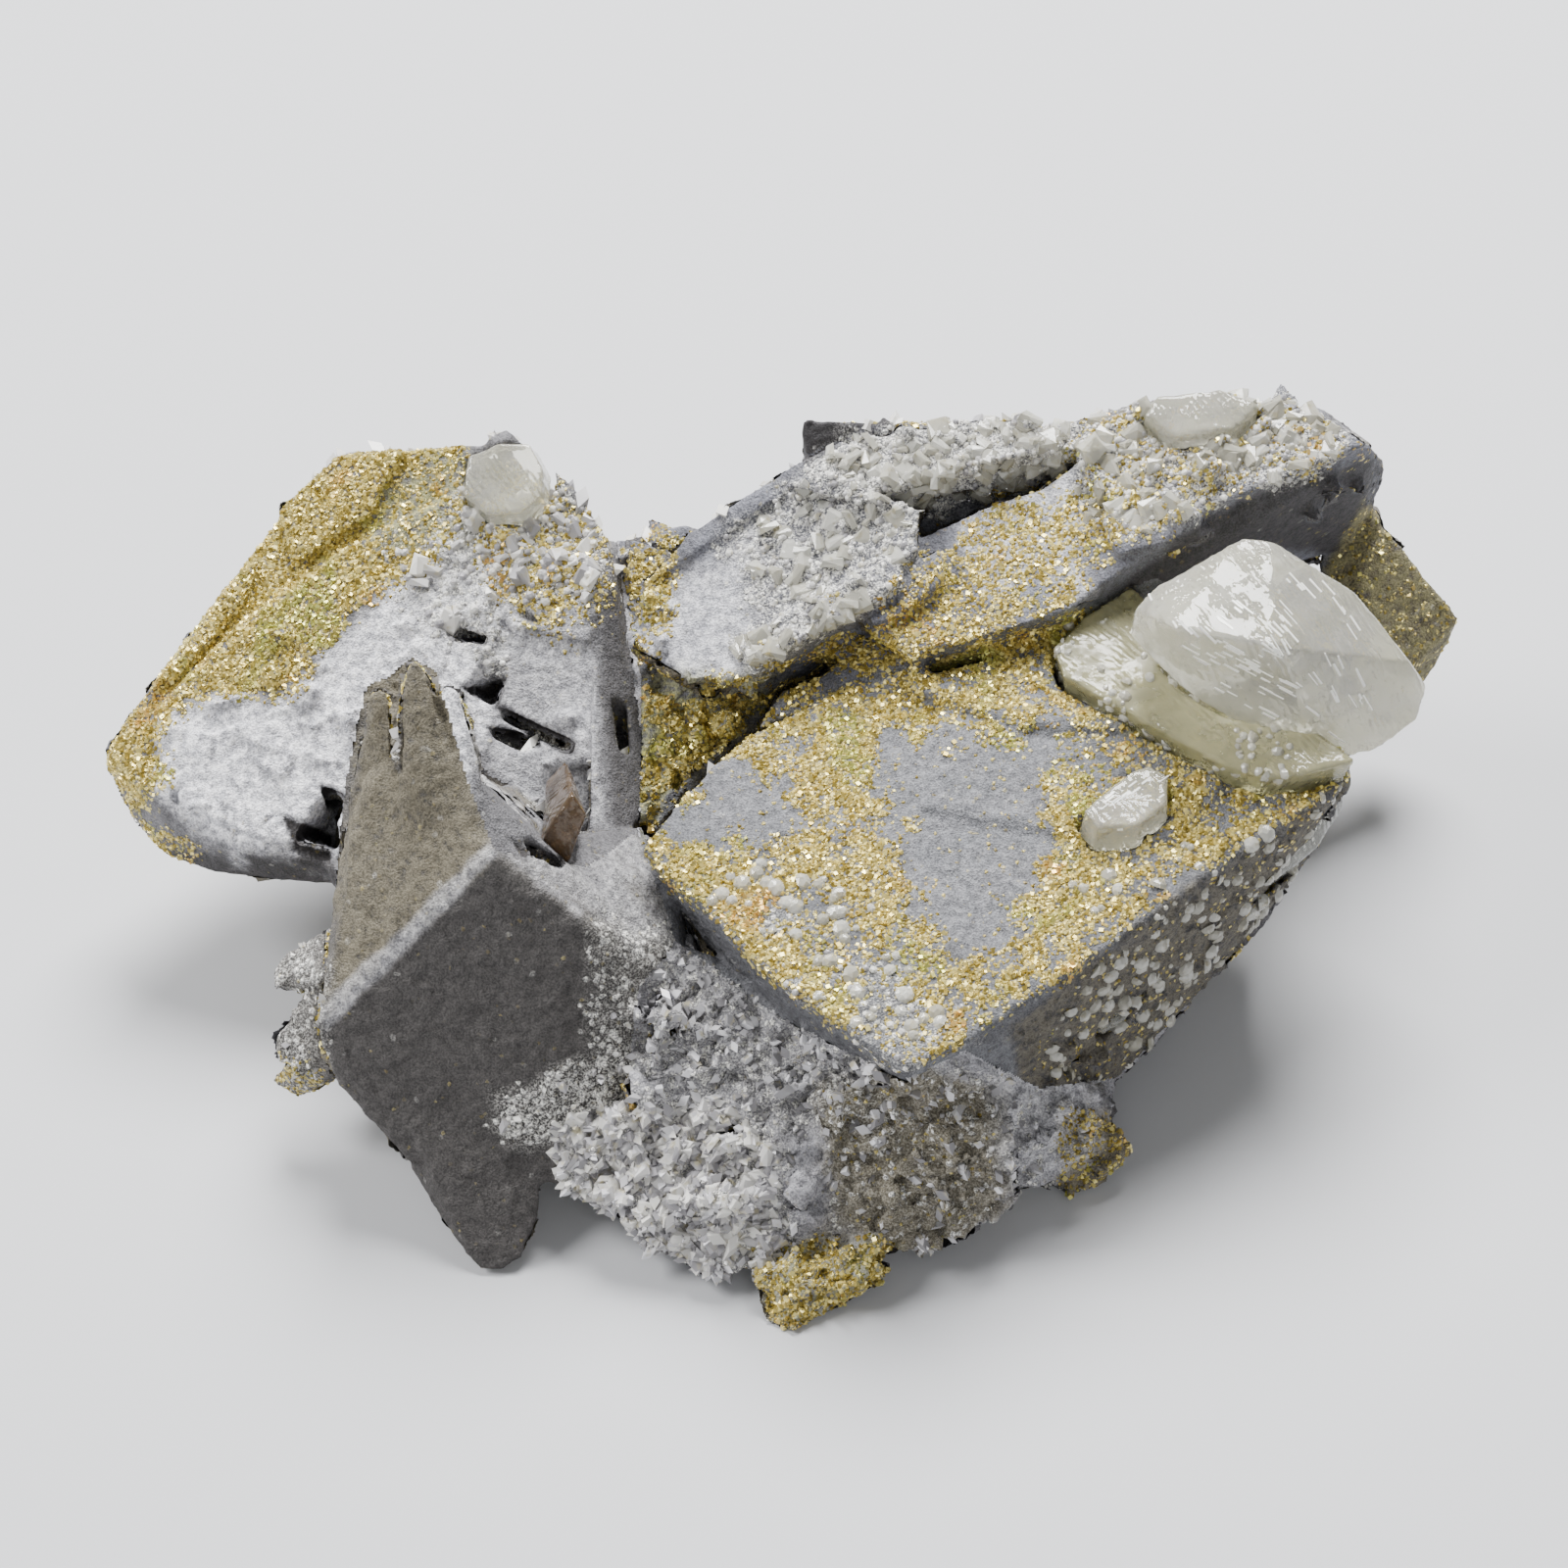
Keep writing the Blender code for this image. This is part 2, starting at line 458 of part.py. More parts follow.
def surface_of(shapes):
    """A tree of the shapes' hulls, in millimetres, to set small crystals on."""
    bm = bmesh.new()
    for name, corners in shapes.items():
        mesh = hull_mesh(name, corners)
        mesh.transform(Matrix.Translation(-CENTRING) @ Matrix.Scale(1 / MM, 4))
        bm.from_mesh(mesh)
        bpy.data.meshes.remove(mesh)
    tree = BVHTree.FromBMesh(bm)
    bm.free()
    return tree


def druse(shapes):
    """The small crystals of the fields, and a scatter of larger lumps on the hidden back and lower sides."""
    rng = random.Random(SEED)
    tree = surface_of(shapes)
    made = {}
    for (px, py), (wide, tall), count, size in DRUSE_FIELDS:
        for _ in range(count):
            angle, reach = rng.uniform(0, math.tau), math.sqrt(rng.random())
            ray = sight_line(px + wide * reach * math.cos(angle), py + tall * reach * math.sin(angle))
            spot, normal = tree.ray_cast(EYE, ray)[:2]
            if spot is None or spot.z < size:
                continue
            made[f"druse_{len(made)}"] = druse_crystal(spot, normal, size * rng.uniform(0.7, 1.25), rng)
    for _ in range(HIDDEN_DRUSE):
        around = math.radians(rng.uniform(15, 200))
        rise = math.radians(rng.uniform(-8, 35))
        out = Vector((math.cos(around) * math.cos(rise), math.sin(around) * math.cos(rise), math.sin(rise)))
        spot, normal = tree.ray_cast(HIDDEN_MIDDLE + out * 100, -out)[:2]
        size = HIDDEN_DRUSE_SIZE * rng.uniform(0.6, 1.2)
        if spot is None or spot.z < size:
            continue
        made[f"lump_{len(made)}"] = druse_crystal(spot, normal, size, rng)
    return made


def keep_largest(obj):
    """Applies the object's modifiers, and drops any crumb that its cuts have left loose."""
    mesh = bpy.data.meshes.new_from_object(obj.evaluated_get(bpy.context.evaluated_depsgraph_get()))
    obj.modifiers.clear()
    bm = bmesh.new()
    bm.from_mesh(mesh)
    bmesh.ops.remove_doubles(bm, verts=bm.verts, dist=MM * 0.001)
    unseen = set(bm.verts)
    pieces = []
    while unseen:
        piece = {unseen.pop()}
        edge = list(piece)
        while edge:
            for link in edge.pop().link_edges:
                for vertex in link.verts:
                    if vertex in unseen:
                        unseen.remove(vertex)
                        piece.add(vertex)
                        edge.append(vertex)
        pieces.append(piece)
    largest = max(pieces, key=len)
    bmesh.ops.delete(bm, geom=[v for v in bm.verts if v not in largest], context="VERTS")
    bm.to_mesh(mesh)
    bm.free()
    obj.data = mesh


def build():
    for obj in list(bpy.data.objects):
        bpy.data.objects.remove(obj)
    grown = new_collection("grown crystals")
    cut = new_collection("cracks and seats")
    nodes = new_collection("pieces")

    shapes = {**left_crystal(), **front_crystal(), **saddle(), **right_crystal(), **back_ridge(), **back_steps(),
              **outer_crystals(), **matrix()}
    shapes.update(druse(shapes))
    for name, corners in shapes.items():
        helper(name, corners, grown)
    for name, (face, pixels, depth) in CRACKS.items():
        helper(name, crack(face, pixels, depth), cut)
    clear = clear_crystals()
    for name, corners in clear.items():
        helper("seat_" + name, seat(corners), cut)
    helper("seat_foot", seat(foot()), cut)

    dark_calcite = finish("dark calcite", (0.16, 0.15, 0.155), 0.7)
    cluster = bpy.data.objects.new("crystal_cluster", hull_mesh("crystal_cluster", underside()["underside"]))
    cluster.data.materials.append(dark_calcite)
    nodes.objects.link(cluster)
    for operation, collection in (("UNION", grown), ("DIFFERENCE", cut)):
        change = cluster.modifiers.new(operation.lower(), "BOOLEAN")
        change.operation = operation
        change.operand_type = "COLLECTION"
        change.collection = collection
        change.solver = "EXACT"
    bpy.context.view_layer.update()
    keep_largest(cluster)

    clear_calcite = finish("clear calcite", (0.86, 0.85, 0.72), 0.12, transmission=0.8)
    smoky_calcite = finish("smoky calcite", (0.25, 0.2, 0.15), 0.2, transmission=0.5)
    for name, corners in {**clear, "clear_crystal_foot": foot()}.items():
        crystal = bpy.data.objects.new(name, hull_mesh(name, corners))
        crystal.data.materials.append(smoky_calcite if name.startswith("smoky") else clear_calcite)
        nodes.objects.link(crystal)
    fit = crystal.modifiers.new("room for the large crystal", "BOOLEAN")
    fit.object = bpy.data.objects["seat_clear_crystal_large"]
    fit.solver = "EXACT"


build()
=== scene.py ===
"""Calcite and pyrite cluster: dark calcite dusted with pyrite, with a second growth of clear calcite."""

import math

import bmesh
import bpy
import numpy as np
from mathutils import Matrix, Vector


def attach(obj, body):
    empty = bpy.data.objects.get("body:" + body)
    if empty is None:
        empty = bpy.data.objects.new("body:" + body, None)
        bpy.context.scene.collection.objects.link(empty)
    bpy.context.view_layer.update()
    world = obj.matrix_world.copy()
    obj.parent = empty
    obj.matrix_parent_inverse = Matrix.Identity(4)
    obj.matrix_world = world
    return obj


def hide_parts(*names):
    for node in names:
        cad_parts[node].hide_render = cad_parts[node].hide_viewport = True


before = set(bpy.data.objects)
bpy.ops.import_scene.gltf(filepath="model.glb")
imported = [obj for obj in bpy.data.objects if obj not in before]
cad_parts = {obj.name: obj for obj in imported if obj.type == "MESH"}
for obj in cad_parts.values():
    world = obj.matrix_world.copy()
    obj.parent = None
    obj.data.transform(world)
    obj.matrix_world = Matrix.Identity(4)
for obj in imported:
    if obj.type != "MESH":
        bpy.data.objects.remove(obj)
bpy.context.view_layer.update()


# The camera and the table.
# The specimen lies on a table and is seen from the front, from above. Each mark on its skin is placed by
# where it shows in the picture, so the sight lines come first.

PICTURE_SIZE = 1600.0
PIXELS_PER_MM = 17.3
VIEW_TILT = math.radians(48.0)
VIEW_DISTANCE = 220.0
AIM = np.array((-0.6, 1.0, 13.9))
SENSOR_WIDTH = 36.0

SIGHT = np.array((0.0, math.cos(VIEW_TILT), -math.sin(VIEW_TILT)))
PICTURE_UP = np.array((0.0, math.sin(VIEW_TILT), math.cos(VIEW_TILT)))
EYE = AIM - SIGHT * VIEW_DISTANCE

camera = bpy.data.objects.new("camera", bpy.data.cameras.new("camera"))
camera.data.sensor_width = SENSOR_WIDTH
camera.data.lens = SENSOR_WIDTH * PIXELS_PER_MM * VIEW_DISTANCE / PICTURE_SIZE
camera.location = Vector(EYE) / 1000
camera.rotation_euler = (math.pi / 2 - VIEW_TILT, 0, 0)
camera.data.clip_start = 0.005
bpy.context.scene.collection.objects.link(camera)
bpy.context.scene.camera = camera


def link(obj):
    bpy.context.scene.collection.objects.link(obj)
    return obj


def node(tree, kind, settings=None, **inputs):
    """Adds a node. An input is a value or another node's socket, and its name has _ for a space."""
    made = tree.nodes.new(kind)
    for key, value in (settings or {}).items():
        setattr(made, key, value)
    for key, value in inputs.items():
        socket = made.inputs[key.replace("_", " ")]
        if isinstance(value, bpy.types.NodeSocket):
            tree.links.new(value, socket)
        else:
            socket.default_value = value
    return made


def number(tree, operation, *values):
    """A Math node on values or sockets, kept from 0 to 1 where the operation's name ends in a plus."""
    made = tree.nodes.new("ShaderNodeMath")
    made.operation = operation.rstrip("+")
    made.use_clamp = operation.endswith("+")
    for socket, value in zip(made.inputs, values):
        if isinstance(value, bpy.types.NodeSocket):
            tree.links.new(value, socket)
        else:
            socket.default_value = value
    return made.outputs[0]


def blend(tree, amount, first, second, kind="MIX"):
    """Mixes two colours by an amount."""
    made = tree.nodes.new("ShaderNodeMix")
    made.data_type = "RGBA"
    made.blend_type = kind
    made.clamp_factor = True
    for socket, value in zip((made.inputs[0], made.inputs[6], made.inputs[7]), (amount, first, second)):
        if isinstance(value, bpy.types.NodeSocket):
            tree.links.new(value, socket)
        else:
            socket.default_value = value
    return made.outputs[2]


def ramp(tree, value, low, high):
    """0 below low, 1 above high, and a smooth step between."""
    made = node(tree, "ShaderNodeMapRange", {"interpolation_type": "SMOOTHSTEP"}, Value=value, From_Min=low, From_Max=high)
    return made.outputs["Result"]


def colour(red, green, blue):
    """A linear colour from the 0 to 255 values of a screen colour."""
    parts = [c / 255 for c in (red, green, blue)]
    return (*[c / 12.92 if c <= 0.04045 else ((c + 0.055) / 1.055) ** 2.4 for c in parts], 1.0)


def new_finish(name):
    """A material with its Principled shader, and its tree."""
    made = bpy.data.materials.new(name)
    made.use_nodes = True
    return made, made.node_tree, made.node_tree.nodes["Principled BSDF"]


TABLE_COLOUR = colour(196, 197, 200)
TABLE_WIDTH = 3.0

bm = bmesh.new()
bmesh.ops.create_grid(bm, x_segments=2, y_segments=2, size=TABLE_WIDTH / 2)
table = link(bpy.data.objects.new("table", bpy.data.meshes.new("table")))
bm.to_mesh(table.data)
bm.free()
table_finish, tree, shader = new_finish("pale table")
shader.inputs["Base Color"].default_value = TABLE_COLOUR
shader.inputs["Roughness"].default_value = 0.6
table.data.materials.append(table_finish)


# The studio light.
# One large soft light stands behind and above, as over a window table, and a weak one fills the front.

LIGHTS = (
    ("back light", (0.06, 0.36, 0.50), 0.34, 11.0),
    ("left light", (-0.45, 0.05, 0.40), 0.26, 4.2),
    ("front fill", (0.15, -0.50, 0.34), 0.50, 1.0),
)
for name, place, width, watts in LIGHTS:
    lamp = bpy.data.lights.new(name, "AREA")
    lamp.shape = "DISK"
    lamp.size = width
    lamp.energy = watts
    light = link(bpy.data.objects.new(name, lamp))
    light.location = place
    light.rotation_euler = (Vector((0, 0, 0.012)) - Vector(place)).to_track_quat("-Z", "Y").to_euler()
sky = bpy.data.worlds.new("studio")
sky.use_nodes = True
sky.node_tree.nodes["Background"].inputs["Color"].default_value = (0.88, 0.89, 0.9, 1.0)
sky.node_tree.nodes["Background"].inputs["Strength"].default_value = 0.26
bpy.context.scene.world = sky


# The dark mass: the crystals and the matrix that grew together as one stone.
# It is made finely meshed here, and the sections below take their own crystal's skin from it. Its flat faces
# are etched and slightly wavy, and its broken parts are rough.

GRID_MM = 0.2
EDGE_WEAR = 2
DEPTH_SLACK = 1.2
SPOT_PIXELS = 6
SEED = 11


def scatter_hash(cell, seed):
    """A random number from 0 to 1 for each whole-numbered cell."""
    key = cell[..., 0] * 374761393 + cell[..., 1] * 668265263 + cell[..., 2] * 1440662683 + seed * 974634777
    key = key & 0xFFFFFFFF
    key = ((key ^ (key >> 13)) * 1274126177) & 0xFFFFFFFF
    key = ((key ^ (key >> 15)) * 2246822519) & 0xFFFFFFFF
    return (key ^ (key >> 16)) / 4294967296.0


def smooth(value, low, high):
    share = np.clip((value - low) / (high - low), 0, 1)
    return share * share * (3 - 2 * share)


def waves(points, size, seed=0):
    """Soft noise from 0 to 1, with waves of about that size in millimetres."""
    place = points / size
    low = np.floor(place).astype(np.int64)
    part = place - low
    part = part * part * (3 - 2 * part)
    total = np.zeros(len(points))
    for corner in np.ndindex(2, 2, 2):
        weight = np.prod(np.where(corner, part, 1 - part), axis=1)
        total += weight * scatter_hash(low + np.array(corner), seed + SEED)
    return total


def rubble(points, size, octaves=3, seed=0):
    """Rough noise from about -1 to 1, with ever finer waves."""
    total, amount, reach = np.zeros(len(points)), 1.0, 0.0
    for octave in range(octaves):
        total += amount * (waves(points, size / 2**octave, seed + 17 * octave) * 2 - 1)
        reach += amount
        amount *= 0.5
    return total / reach


def chips(points, size, seed=0):
    """Heights of broken chips: each cell of the stone is a flat facet with its own tilt."""
    place = points / size
    home = np.floor(place).astype(np.int64)
    best = np.full(len(points), 9.0)
    height = np.zeros(len(points))
    for step in np.ndindex(3, 3, 3):
        cell = home + np.array(step) - 1
        core = cell + np.stack([scatter_hash(cell, seed + k + SEED) for k in range(3)], axis=-1)
        away = place - core
        distance = (away**2).sum(axis=1)
        lean = np.stack([scatter_hash(cell, seed + k + 5 + SEED) for k in range(3)], axis=-1) * 2 - 1
        lift = (away * lean).sum(axis=1) + scatter_hash(cell, seed + 9 + SEED) * 0.6 - 0.3
        nearer = distance < best
        best = np.where(nearer, distance, best)
        height = np.where(nearer, lift, height)
    return height


def picture(points):
    """Where points show in the picture, in pixels, and how far off they are."""
    away = points - EYE
    depth = away @ SIGHT
    reach = VIEW_DISTANCE * PIXELS_PER_MM
    return (
        PICTURE_SIZE / 2 + away[:, 0] / depth * reach,
        PICTURE_SIZE / 2 - (away @ PICTURE_UP) / depth * reach,
        depth,
    )


def inside(px, py, outline):
    """How far picture points are inside an outline, in pixels, and below 0 outside it."""
    spots = np.stack([px, py], axis=1)
    corners = np.array(outline, float)
    nearest = np.full(len(spots), 1e9)
    within = np.zeros(len(spots), bool)
    for start, end in zip(corners, np.roll(corners, -1, axis=0)):
        along = end - start
        share = np.clip((spots - start) @ along / (along @ along), 0, 1)
        nearest = np.minimum(nearest, ((spots - start - share[:, None] * along) ** 2).sum(axis=1))
        rise = end[1] - start[1]
        crosses = (start[1] > spots[:, 1]) != (end[1] > spots[:, 1])
        reach = start[0] + (spots[:, 1] - start[1]) / (rise if rise else 1e-9) * along[0]
        within ^= crosses & (spots[:, 0] < reach)
    return np.where(within, 1, -1) * np.sqrt(nearest)


def copy_of(cad_node, name):
    """A welded copy of a CAD node's mesh, as a new object."""
    made = bpy.data.objects.new(name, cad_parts[cad_node].data.copy())
    made.data.materials.clear()
    bm = bmesh.new()
    bm.from_mesh(made.data)
    bmesh.ops.remove_doubles(bm, verts=bm.verts, dist=1e-6)
    bm.to_mesh(made.data)
    bm.free()
    return link(made)


def remeshed(obj, size_mm):
    """The object's mesh as an even grid of small faces."""
    remesh = obj.modifiers.new("even faces", "REMESH")
    remesh.mode = "VOXEL"
    remesh.voxel_size = size_mm / 1000
    done = bpy.data.meshes.new_from_object(obj.evaluated_get(bpy.context.evaluated_depsgraph_get()))
    obj.modifiers.remove(remesh)
    return done


def read(mesh):
    """A mesh's points in millimetres, its normals and its four-sided faces."""
    points = np.empty(len(mesh.vertices) * 3)
    mesh.vertices.foreach_get("co", points)
    normals = np.empty(len(mesh.vertices) * 3)
    mesh.vertex_normals.foreach_get("vector", normals)
    corners = np.empty(len(mesh.loops), np.int64)
    mesh.loops.foreach_get("vertex_index", corners)
    return points.reshape(-1, 3) * 1000, normals.reshape(-1, 3), corners.reshape(-1, 4)


def averaged(values, faces, rounds):
    """Values spread over the mesh, each point taking the mean of its faces."""
    count = np.bincount(faces.ravel(), minlength=len(values))
    for _ in range(rounds):
        mean = values[faces].mean(axis=1)
        values = np.bincount(faces.ravel(), np.repeat(mean, 4), minlength=len(values)) / np.maximum(count, 1)
    return values


mass = copy_of("crystal_cluster", "mass")
shell = remeshed(mass, GRID_MM)
bpy.data.objects.remove(mass)
mass_points, mass_normals, mass_faces = read(shell)
mass_points = np.stack([averaged(mass_points[:, axis], mass_faces, EDGE_WEAR) for axis in range(3)], axis=1)
mass_px, mass_py, mass_depth = picture(mass_points)

spot_x = np.clip(mass_px / SPOT_PIXELS, 0, 299).astype(int)
spot_y = np.clip(mass_py / SPOT_PIXELS, 0, 299).astype(int)
nearest_depth = np.full((300, 300), 1e9)
np.minimum.at(nearest_depth, (spot_x, spot_y), mass_depth)
to_eye = EYE - mass_points
to_eye /= np.linalg.norm(to_eye, axis=1)[:, None]
facing = (mass_normals * to_eye).sum(axis=1)
in_view = (mass_depth < nearest_depth[spot_x, spot_y] + DEPTH_SLACK) & (facing > 0.03)
mass_seen = averaged(in_view.astype(float), mass_faces, 3)

LEFT_OUTLINE = ((80, 760), (140, 680), (330, 430), (560, 420), (628, 540), (640, 640), (655, 760), (650, 850),
                (600, 885), (505, 868), (478, 800), (445, 686), (420, 670), (398, 690), (374, 700), (352, 800), (342, 910),
                (215, 915), (140, 890))
FRONT_OUTLINE = ((342, 910), (352, 800), (374, 700), (398, 690), (420, 670), (445, 686), (478, 800), (505, 868),
                 (600, 885), (650, 850), (690, 960), (650, 1010), (640, 1120), (560, 1150), (575, 1215), (560, 1300),
                 (470, 1310), (400, 1195), (250, 1140), (250, 960))
RIGHT_OUTLINE = ((652, 868), (700, 795), (765, 742), (850, 702), (1000, 650), (1098, 618), (1180, 590), (1400, 770),
                 (1400, 840), (1310, 950), (1210, 1025), (1140, 1100), (1060, 1110), (985, 1072), (925, 1102),
                 (800, 1040), (690, 960))
RIDGE_FOOT = ((630, 540), (655, 700), (652, 868), (700, 795), (765, 742), (850, 702), (1000, 650), (1098, 618),
              (1180, 590), (1520, 740), (1520, 350), (700, 350))
FLANK_DIP = 0.72

face_middles = mass_points[mass_faces].mean(axis=1)
face_normals = mass_normals[mass_faces].mean(axis=1)
face_px, face_py, _ = picture(face_middles)
face_seen = mass_seen[mass_faces].mean(axis=1) > 0.35
face_owner = np.full(len(mass_faces), 4)
for owner, outline in ((3, RIDGE_FOOT), (2, RIGHT_OUTLINE), (1, FRONT_OUTLINE), (0, LEFT_OUTLINE)):
    face_owner[face_seen & (inside(face_px, face_py, outline) > 0)] = owner
face_owner[~face_seen] = 5
face_owner[~face_seen & (face_normals[:, 1] > 0.0) & (face_middles[:, 2] > 3)] = 6
point_owners = np.full((2, len(mass_points)), -1)
point_owners[0][mass_faces.ravel()] = np.repeat(face_owner, 4)
point_owners[1][mass_faces[::-1].ravel()] = np.repeat(face_owner[::-1], 4)
mass_inner = averaged((point_owners[0] == point_owners[1]).astype(float), mass_faces, 1) ** 2
# The two hidden sides are large, so each has a left and a right piece that meet at the middle.
face_owner[(face_owner >= 5) & (face_middles[:, 0] > 0)] += 2

# Every crystal has the same slow waves, so the skins meet without a gap.
mass_points += mass_normals * (rubble(mass_points, 5.0, 2, 3) * 0.10 + rubble(mass_points, 1.6, 2, 4) * 0.05)[:, None]


class Skin:
    """One crystal's part of the mass, with its fields of dusting and painted shade, and its relief."""

    def __init__(self, name, owner):
        faces = mass_faces[face_owner == owner]
        used = np.unique(faces)
        renumber = np.zeros(len(mass_points), np.int64)
        renumber[used] = np.arange(len(used))
        self.name, self.faces = name, renumber[faces]
        self.points, self.normals = mass_points[used].copy(), mass_normals[used]
        self.px, self.py = mass_px[used], mass_py[used]
        self.seen, self.inner = mass_seen[used], mass_inner[used]
        self.fields = {key: np.zeros(len(used)) for key in ("gold", "white", "silver", "brown", "dark", "green", "beads")}

    def patch(self, outline, soft=14, wobble=22, size=2.2):
        """1 inside a patch that is drawn by its outline, with an uneven edge."""
        edge = inside(self.px, self.py, outline) + rubble(self.points, size, 4, len(outline)) * wobble
        return smooth(edge, -soft, soft) * smooth(self.seen, 0.2, 0.6)

    def paint(self, field, amount, outline, soft=14, wobble=22, size=2.2):
        """Adds a patch to a field, or takes it off with an amount below 0."""
        cover = self.patch(outline, soft, wobble, size)
        if amount < 0:
            self.fields[field] *= 1 + amount * cover
        else:
            self.fields[field] = np.maximum(self.fields[field], cover * amount)

    def dust(self, field, amount, size, share, seed=0):
        """Adds uneven patches all over, of that size in millimetres, on that share of the skin."""
        cover = smooth(rubble(self.points, size, 4, seed + 40) * 0.9 + 0.5, 1 - share - 0.12, 1 - share + 0.12)
        self.fields[field] = np.maximum(self.fields[field], cover * amount)

    def lift(self, heights):
        """Moves the skin out by heights in millimetres, but not at its edge."""
        self.points += self.normals * (heights * self.inner)[:, None]

    def make(self, finish):
        """The piece itself, with its fields as attributes."""
        self.points[:, 2] = np.maximum(self.points[:, 2], 0)
        mesh = bpy.data.meshes.new(self.name)
        mesh.vertices.add(len(self.points))
        mesh.vertices.foreach_set("co", (self.points / 1000).ravel())
        mesh.loops.add(self.faces.size)
        mesh.loops.foreach_set("vertex_index", self.faces.ravel().astype(np.int32))
        mesh.polygons.add(len(self.faces))
        mesh.polygons.foreach_set("loop_start", np.arange(0, self.faces.size, 4, dtype=np.int32))
        mesh.update(calc_edges=True)
        for key, values in self.fields.items():
            made = mesh.attributes.new(key, "FLOAT", "POINT")
            made.data.foreach_set("value", np.clip(values, 0, 1).astype(np.float32))
        piece = link(bpy.data.objects.new(self.name, mesh))
        mesh.materials.append(finish)
        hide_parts("crystal_cluster")
        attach(piece, "root")
        return piece


STONE = colour(112, 111, 114)
# The deep colour serves both the stone's random dark mottling and its painted shade.
DEEP_MOTTLE_AND_SHADE = colour(50, 47, 47)
CHALK = colour(206, 203, 196)
BROWN = colour(112, 105, 86)
GOLD = colour(232, 214, 136)
OLD_GOLD = colour(158, 138, 66)
ROSE_GOLD = colour(204, 166, 92)
GREEN_GOLD = colour(158, 156, 88)


def skin_group():
    """The look of the dusted stone: its colour with its painted shade, and its roughness, shine and fine height from
    the fields.
    """
    tree = bpy.data.node_groups.new("dusted stone", "ShaderNodeTree")
    faces = tree.interface
    for name, value in (("Stone", STONE), ("Deep", DEEP_MOTTLE_AND_SHADE)):
        faces.new_socket(name, in_out="INPUT", socket_type="NodeSocketColor").default_value = value
    faces.new_socket("Mottle", in_out="INPUT", socket_type="NodeSocketFloat").default_value = 0.5
    faces.new_socket("Color", in_out="OUTPUT", socket_type="NodeSocketColor")
    for name in ("Roughness", "Metallic", "Height"):
        faces.new_socket(name, in_out="OUTPUT", socket_type="NodeSocketFloat")
    entry = node(tree, "NodeGroupInput")
    place = node(tree, "ShaderNodeTexCoord").outputs["Object"]
    scaled = node(tree, "ShaderNodeVectorMath", {"operation": "SCALE"}, Vector=place, Scale=1000.0).outputs["Vector"]

    def field(name):
        return node(tree, "ShaderNodeAttribute", {"attribute_name": name}).outputs["Fac"]

    def noise(size, detail=4.0, rough=0.6):
        return node(tree, "ShaderNodeTexNoise", None, Vector=scaled, Scale=1 / size, Detail=detail,
                    Roughness=rough).outputs["Fac"]

    def cells(size):
        return node(tree, "ShaderNodeTexVoronoi", None, Vector=scaled, Scale=1 / size)

    broad, fine, grit = noise(2.6), noise(0.5), noise(0.12, 2.0)
    gold_cell, white_cell, speck = cells(0.2), cells(0.32), cells(0.3)
    mottle = number(tree, "MULTIPLY", ramp(tree, broad, 0.35, 0.68), entry.outputs["Mottle"])
    # Painted shade: the stone darkens toward the deep colour where its random mottle is and where the painted shade
    # field is set.
    shade = number(tree, "MAXIMUM", mottle, number(tree, "MULTIPLY", field("dark"), 0.96))
    stone = blend(tree, shade, entry.outputs["Stone"], entry.outputs["Deep"])
    brown = number(tree, "MULTIPLY", field("brown"), ramp(tree, number(tree, "ADD", fine, number(
        tree, "MULTIPLY", field("brown"), 0.3)), 0.42, 0.7))
    skin = blend(tree, brown, stone, BROWN)
    silver = number(tree, "MULTIPLY", field("silver"), ramp(tree, number(tree, "ADD", broad, number(
        tree, "MULTIPLY", field("silver"), 0.4)), 0.36, 0.6))
    silver_tone = blend(tree, ramp(tree, fine, 0.35, 0.7), colour(196, 196, 203), colour(248, 247, 250))
    skin = blend(tree, silver, skin, silver_tone)
    green = number(tree, "MULTIPLY", field("green"), ramp(tree, fine, 0.3, 0.6))
    skin = blend(tree, green, skin, GREEN_GOLD)

    def speckled(cell, density, edge):
        share = node(tree, "ShaderNodeSeparateColor", None, Color=cell.outputs["Color"]).outputs["Red"]
        chosen = ramp(tree, number(tree, "SUBTRACT", density, share), -0.02, 0.04)
        return number(tree, "MULTIPLY", chosen, ramp(tree, cell.outputs["Distance"], edge, edge * 0.55))

    white = number(tree, "MAXIMUM", speckled(white_cell, field("white"), 0.85), number(
        tree, "MULTIPLY", field("white"), ramp(tree, grit, 0.35, 0.65)))
    white_tone = blend(tree, ramp(tree, grit, 0.3, 0.7), colour(146, 145, 146), colour(238, 236, 228))
    skin = blend(tree, white, skin, white_tone)
    pale = number(tree, "MULTIPLY", speckled(speck, -0.01, 0.35), 0.6)
    skin = blend(tree, pale, skin, CHALK)
    gold = speckled(gold_cell, number(tree, "MULTIPLY", field("gold"), 1.0), 0.95)
    hue = node(tree, "ShaderNodeSeparateColor", None, Color=gold_cell.outputs["Color"]).outputs["Green"]
    gold_tone = blend(tree, ramp(tree, hue, 0.2, 0.9), GOLD, OLD_GOLD)
    gold_tone = blend(tree, ramp(tree, noise(3.5), 0.58, 0.74), gold_tone, ROSE_GOLD)
    gold_tone = blend(tree, ramp(tree, noise(4.5), 0.55, 0.7), gold_tone, GREEN_GOLD)
    skin = blend(tree, gold, skin, gold_tone)
    light = number(tree, "ADD", number(tree, "MULTIPLY", ramp(tree, grit, 0.36, 0.64), 0.62), number(
        tree, "MULTIPLY", ramp(tree, fine, 0.34, 0.66), 0.42))
    light = number(tree, "ADD", light, 0.5)
    grey = node(tree, "ShaderNodeCombineColor", None, Red=light, Green=light, Blue=light).outputs["Color"]
    skin = blend(tree, 1.0, skin, grey, "MULTIPLY")

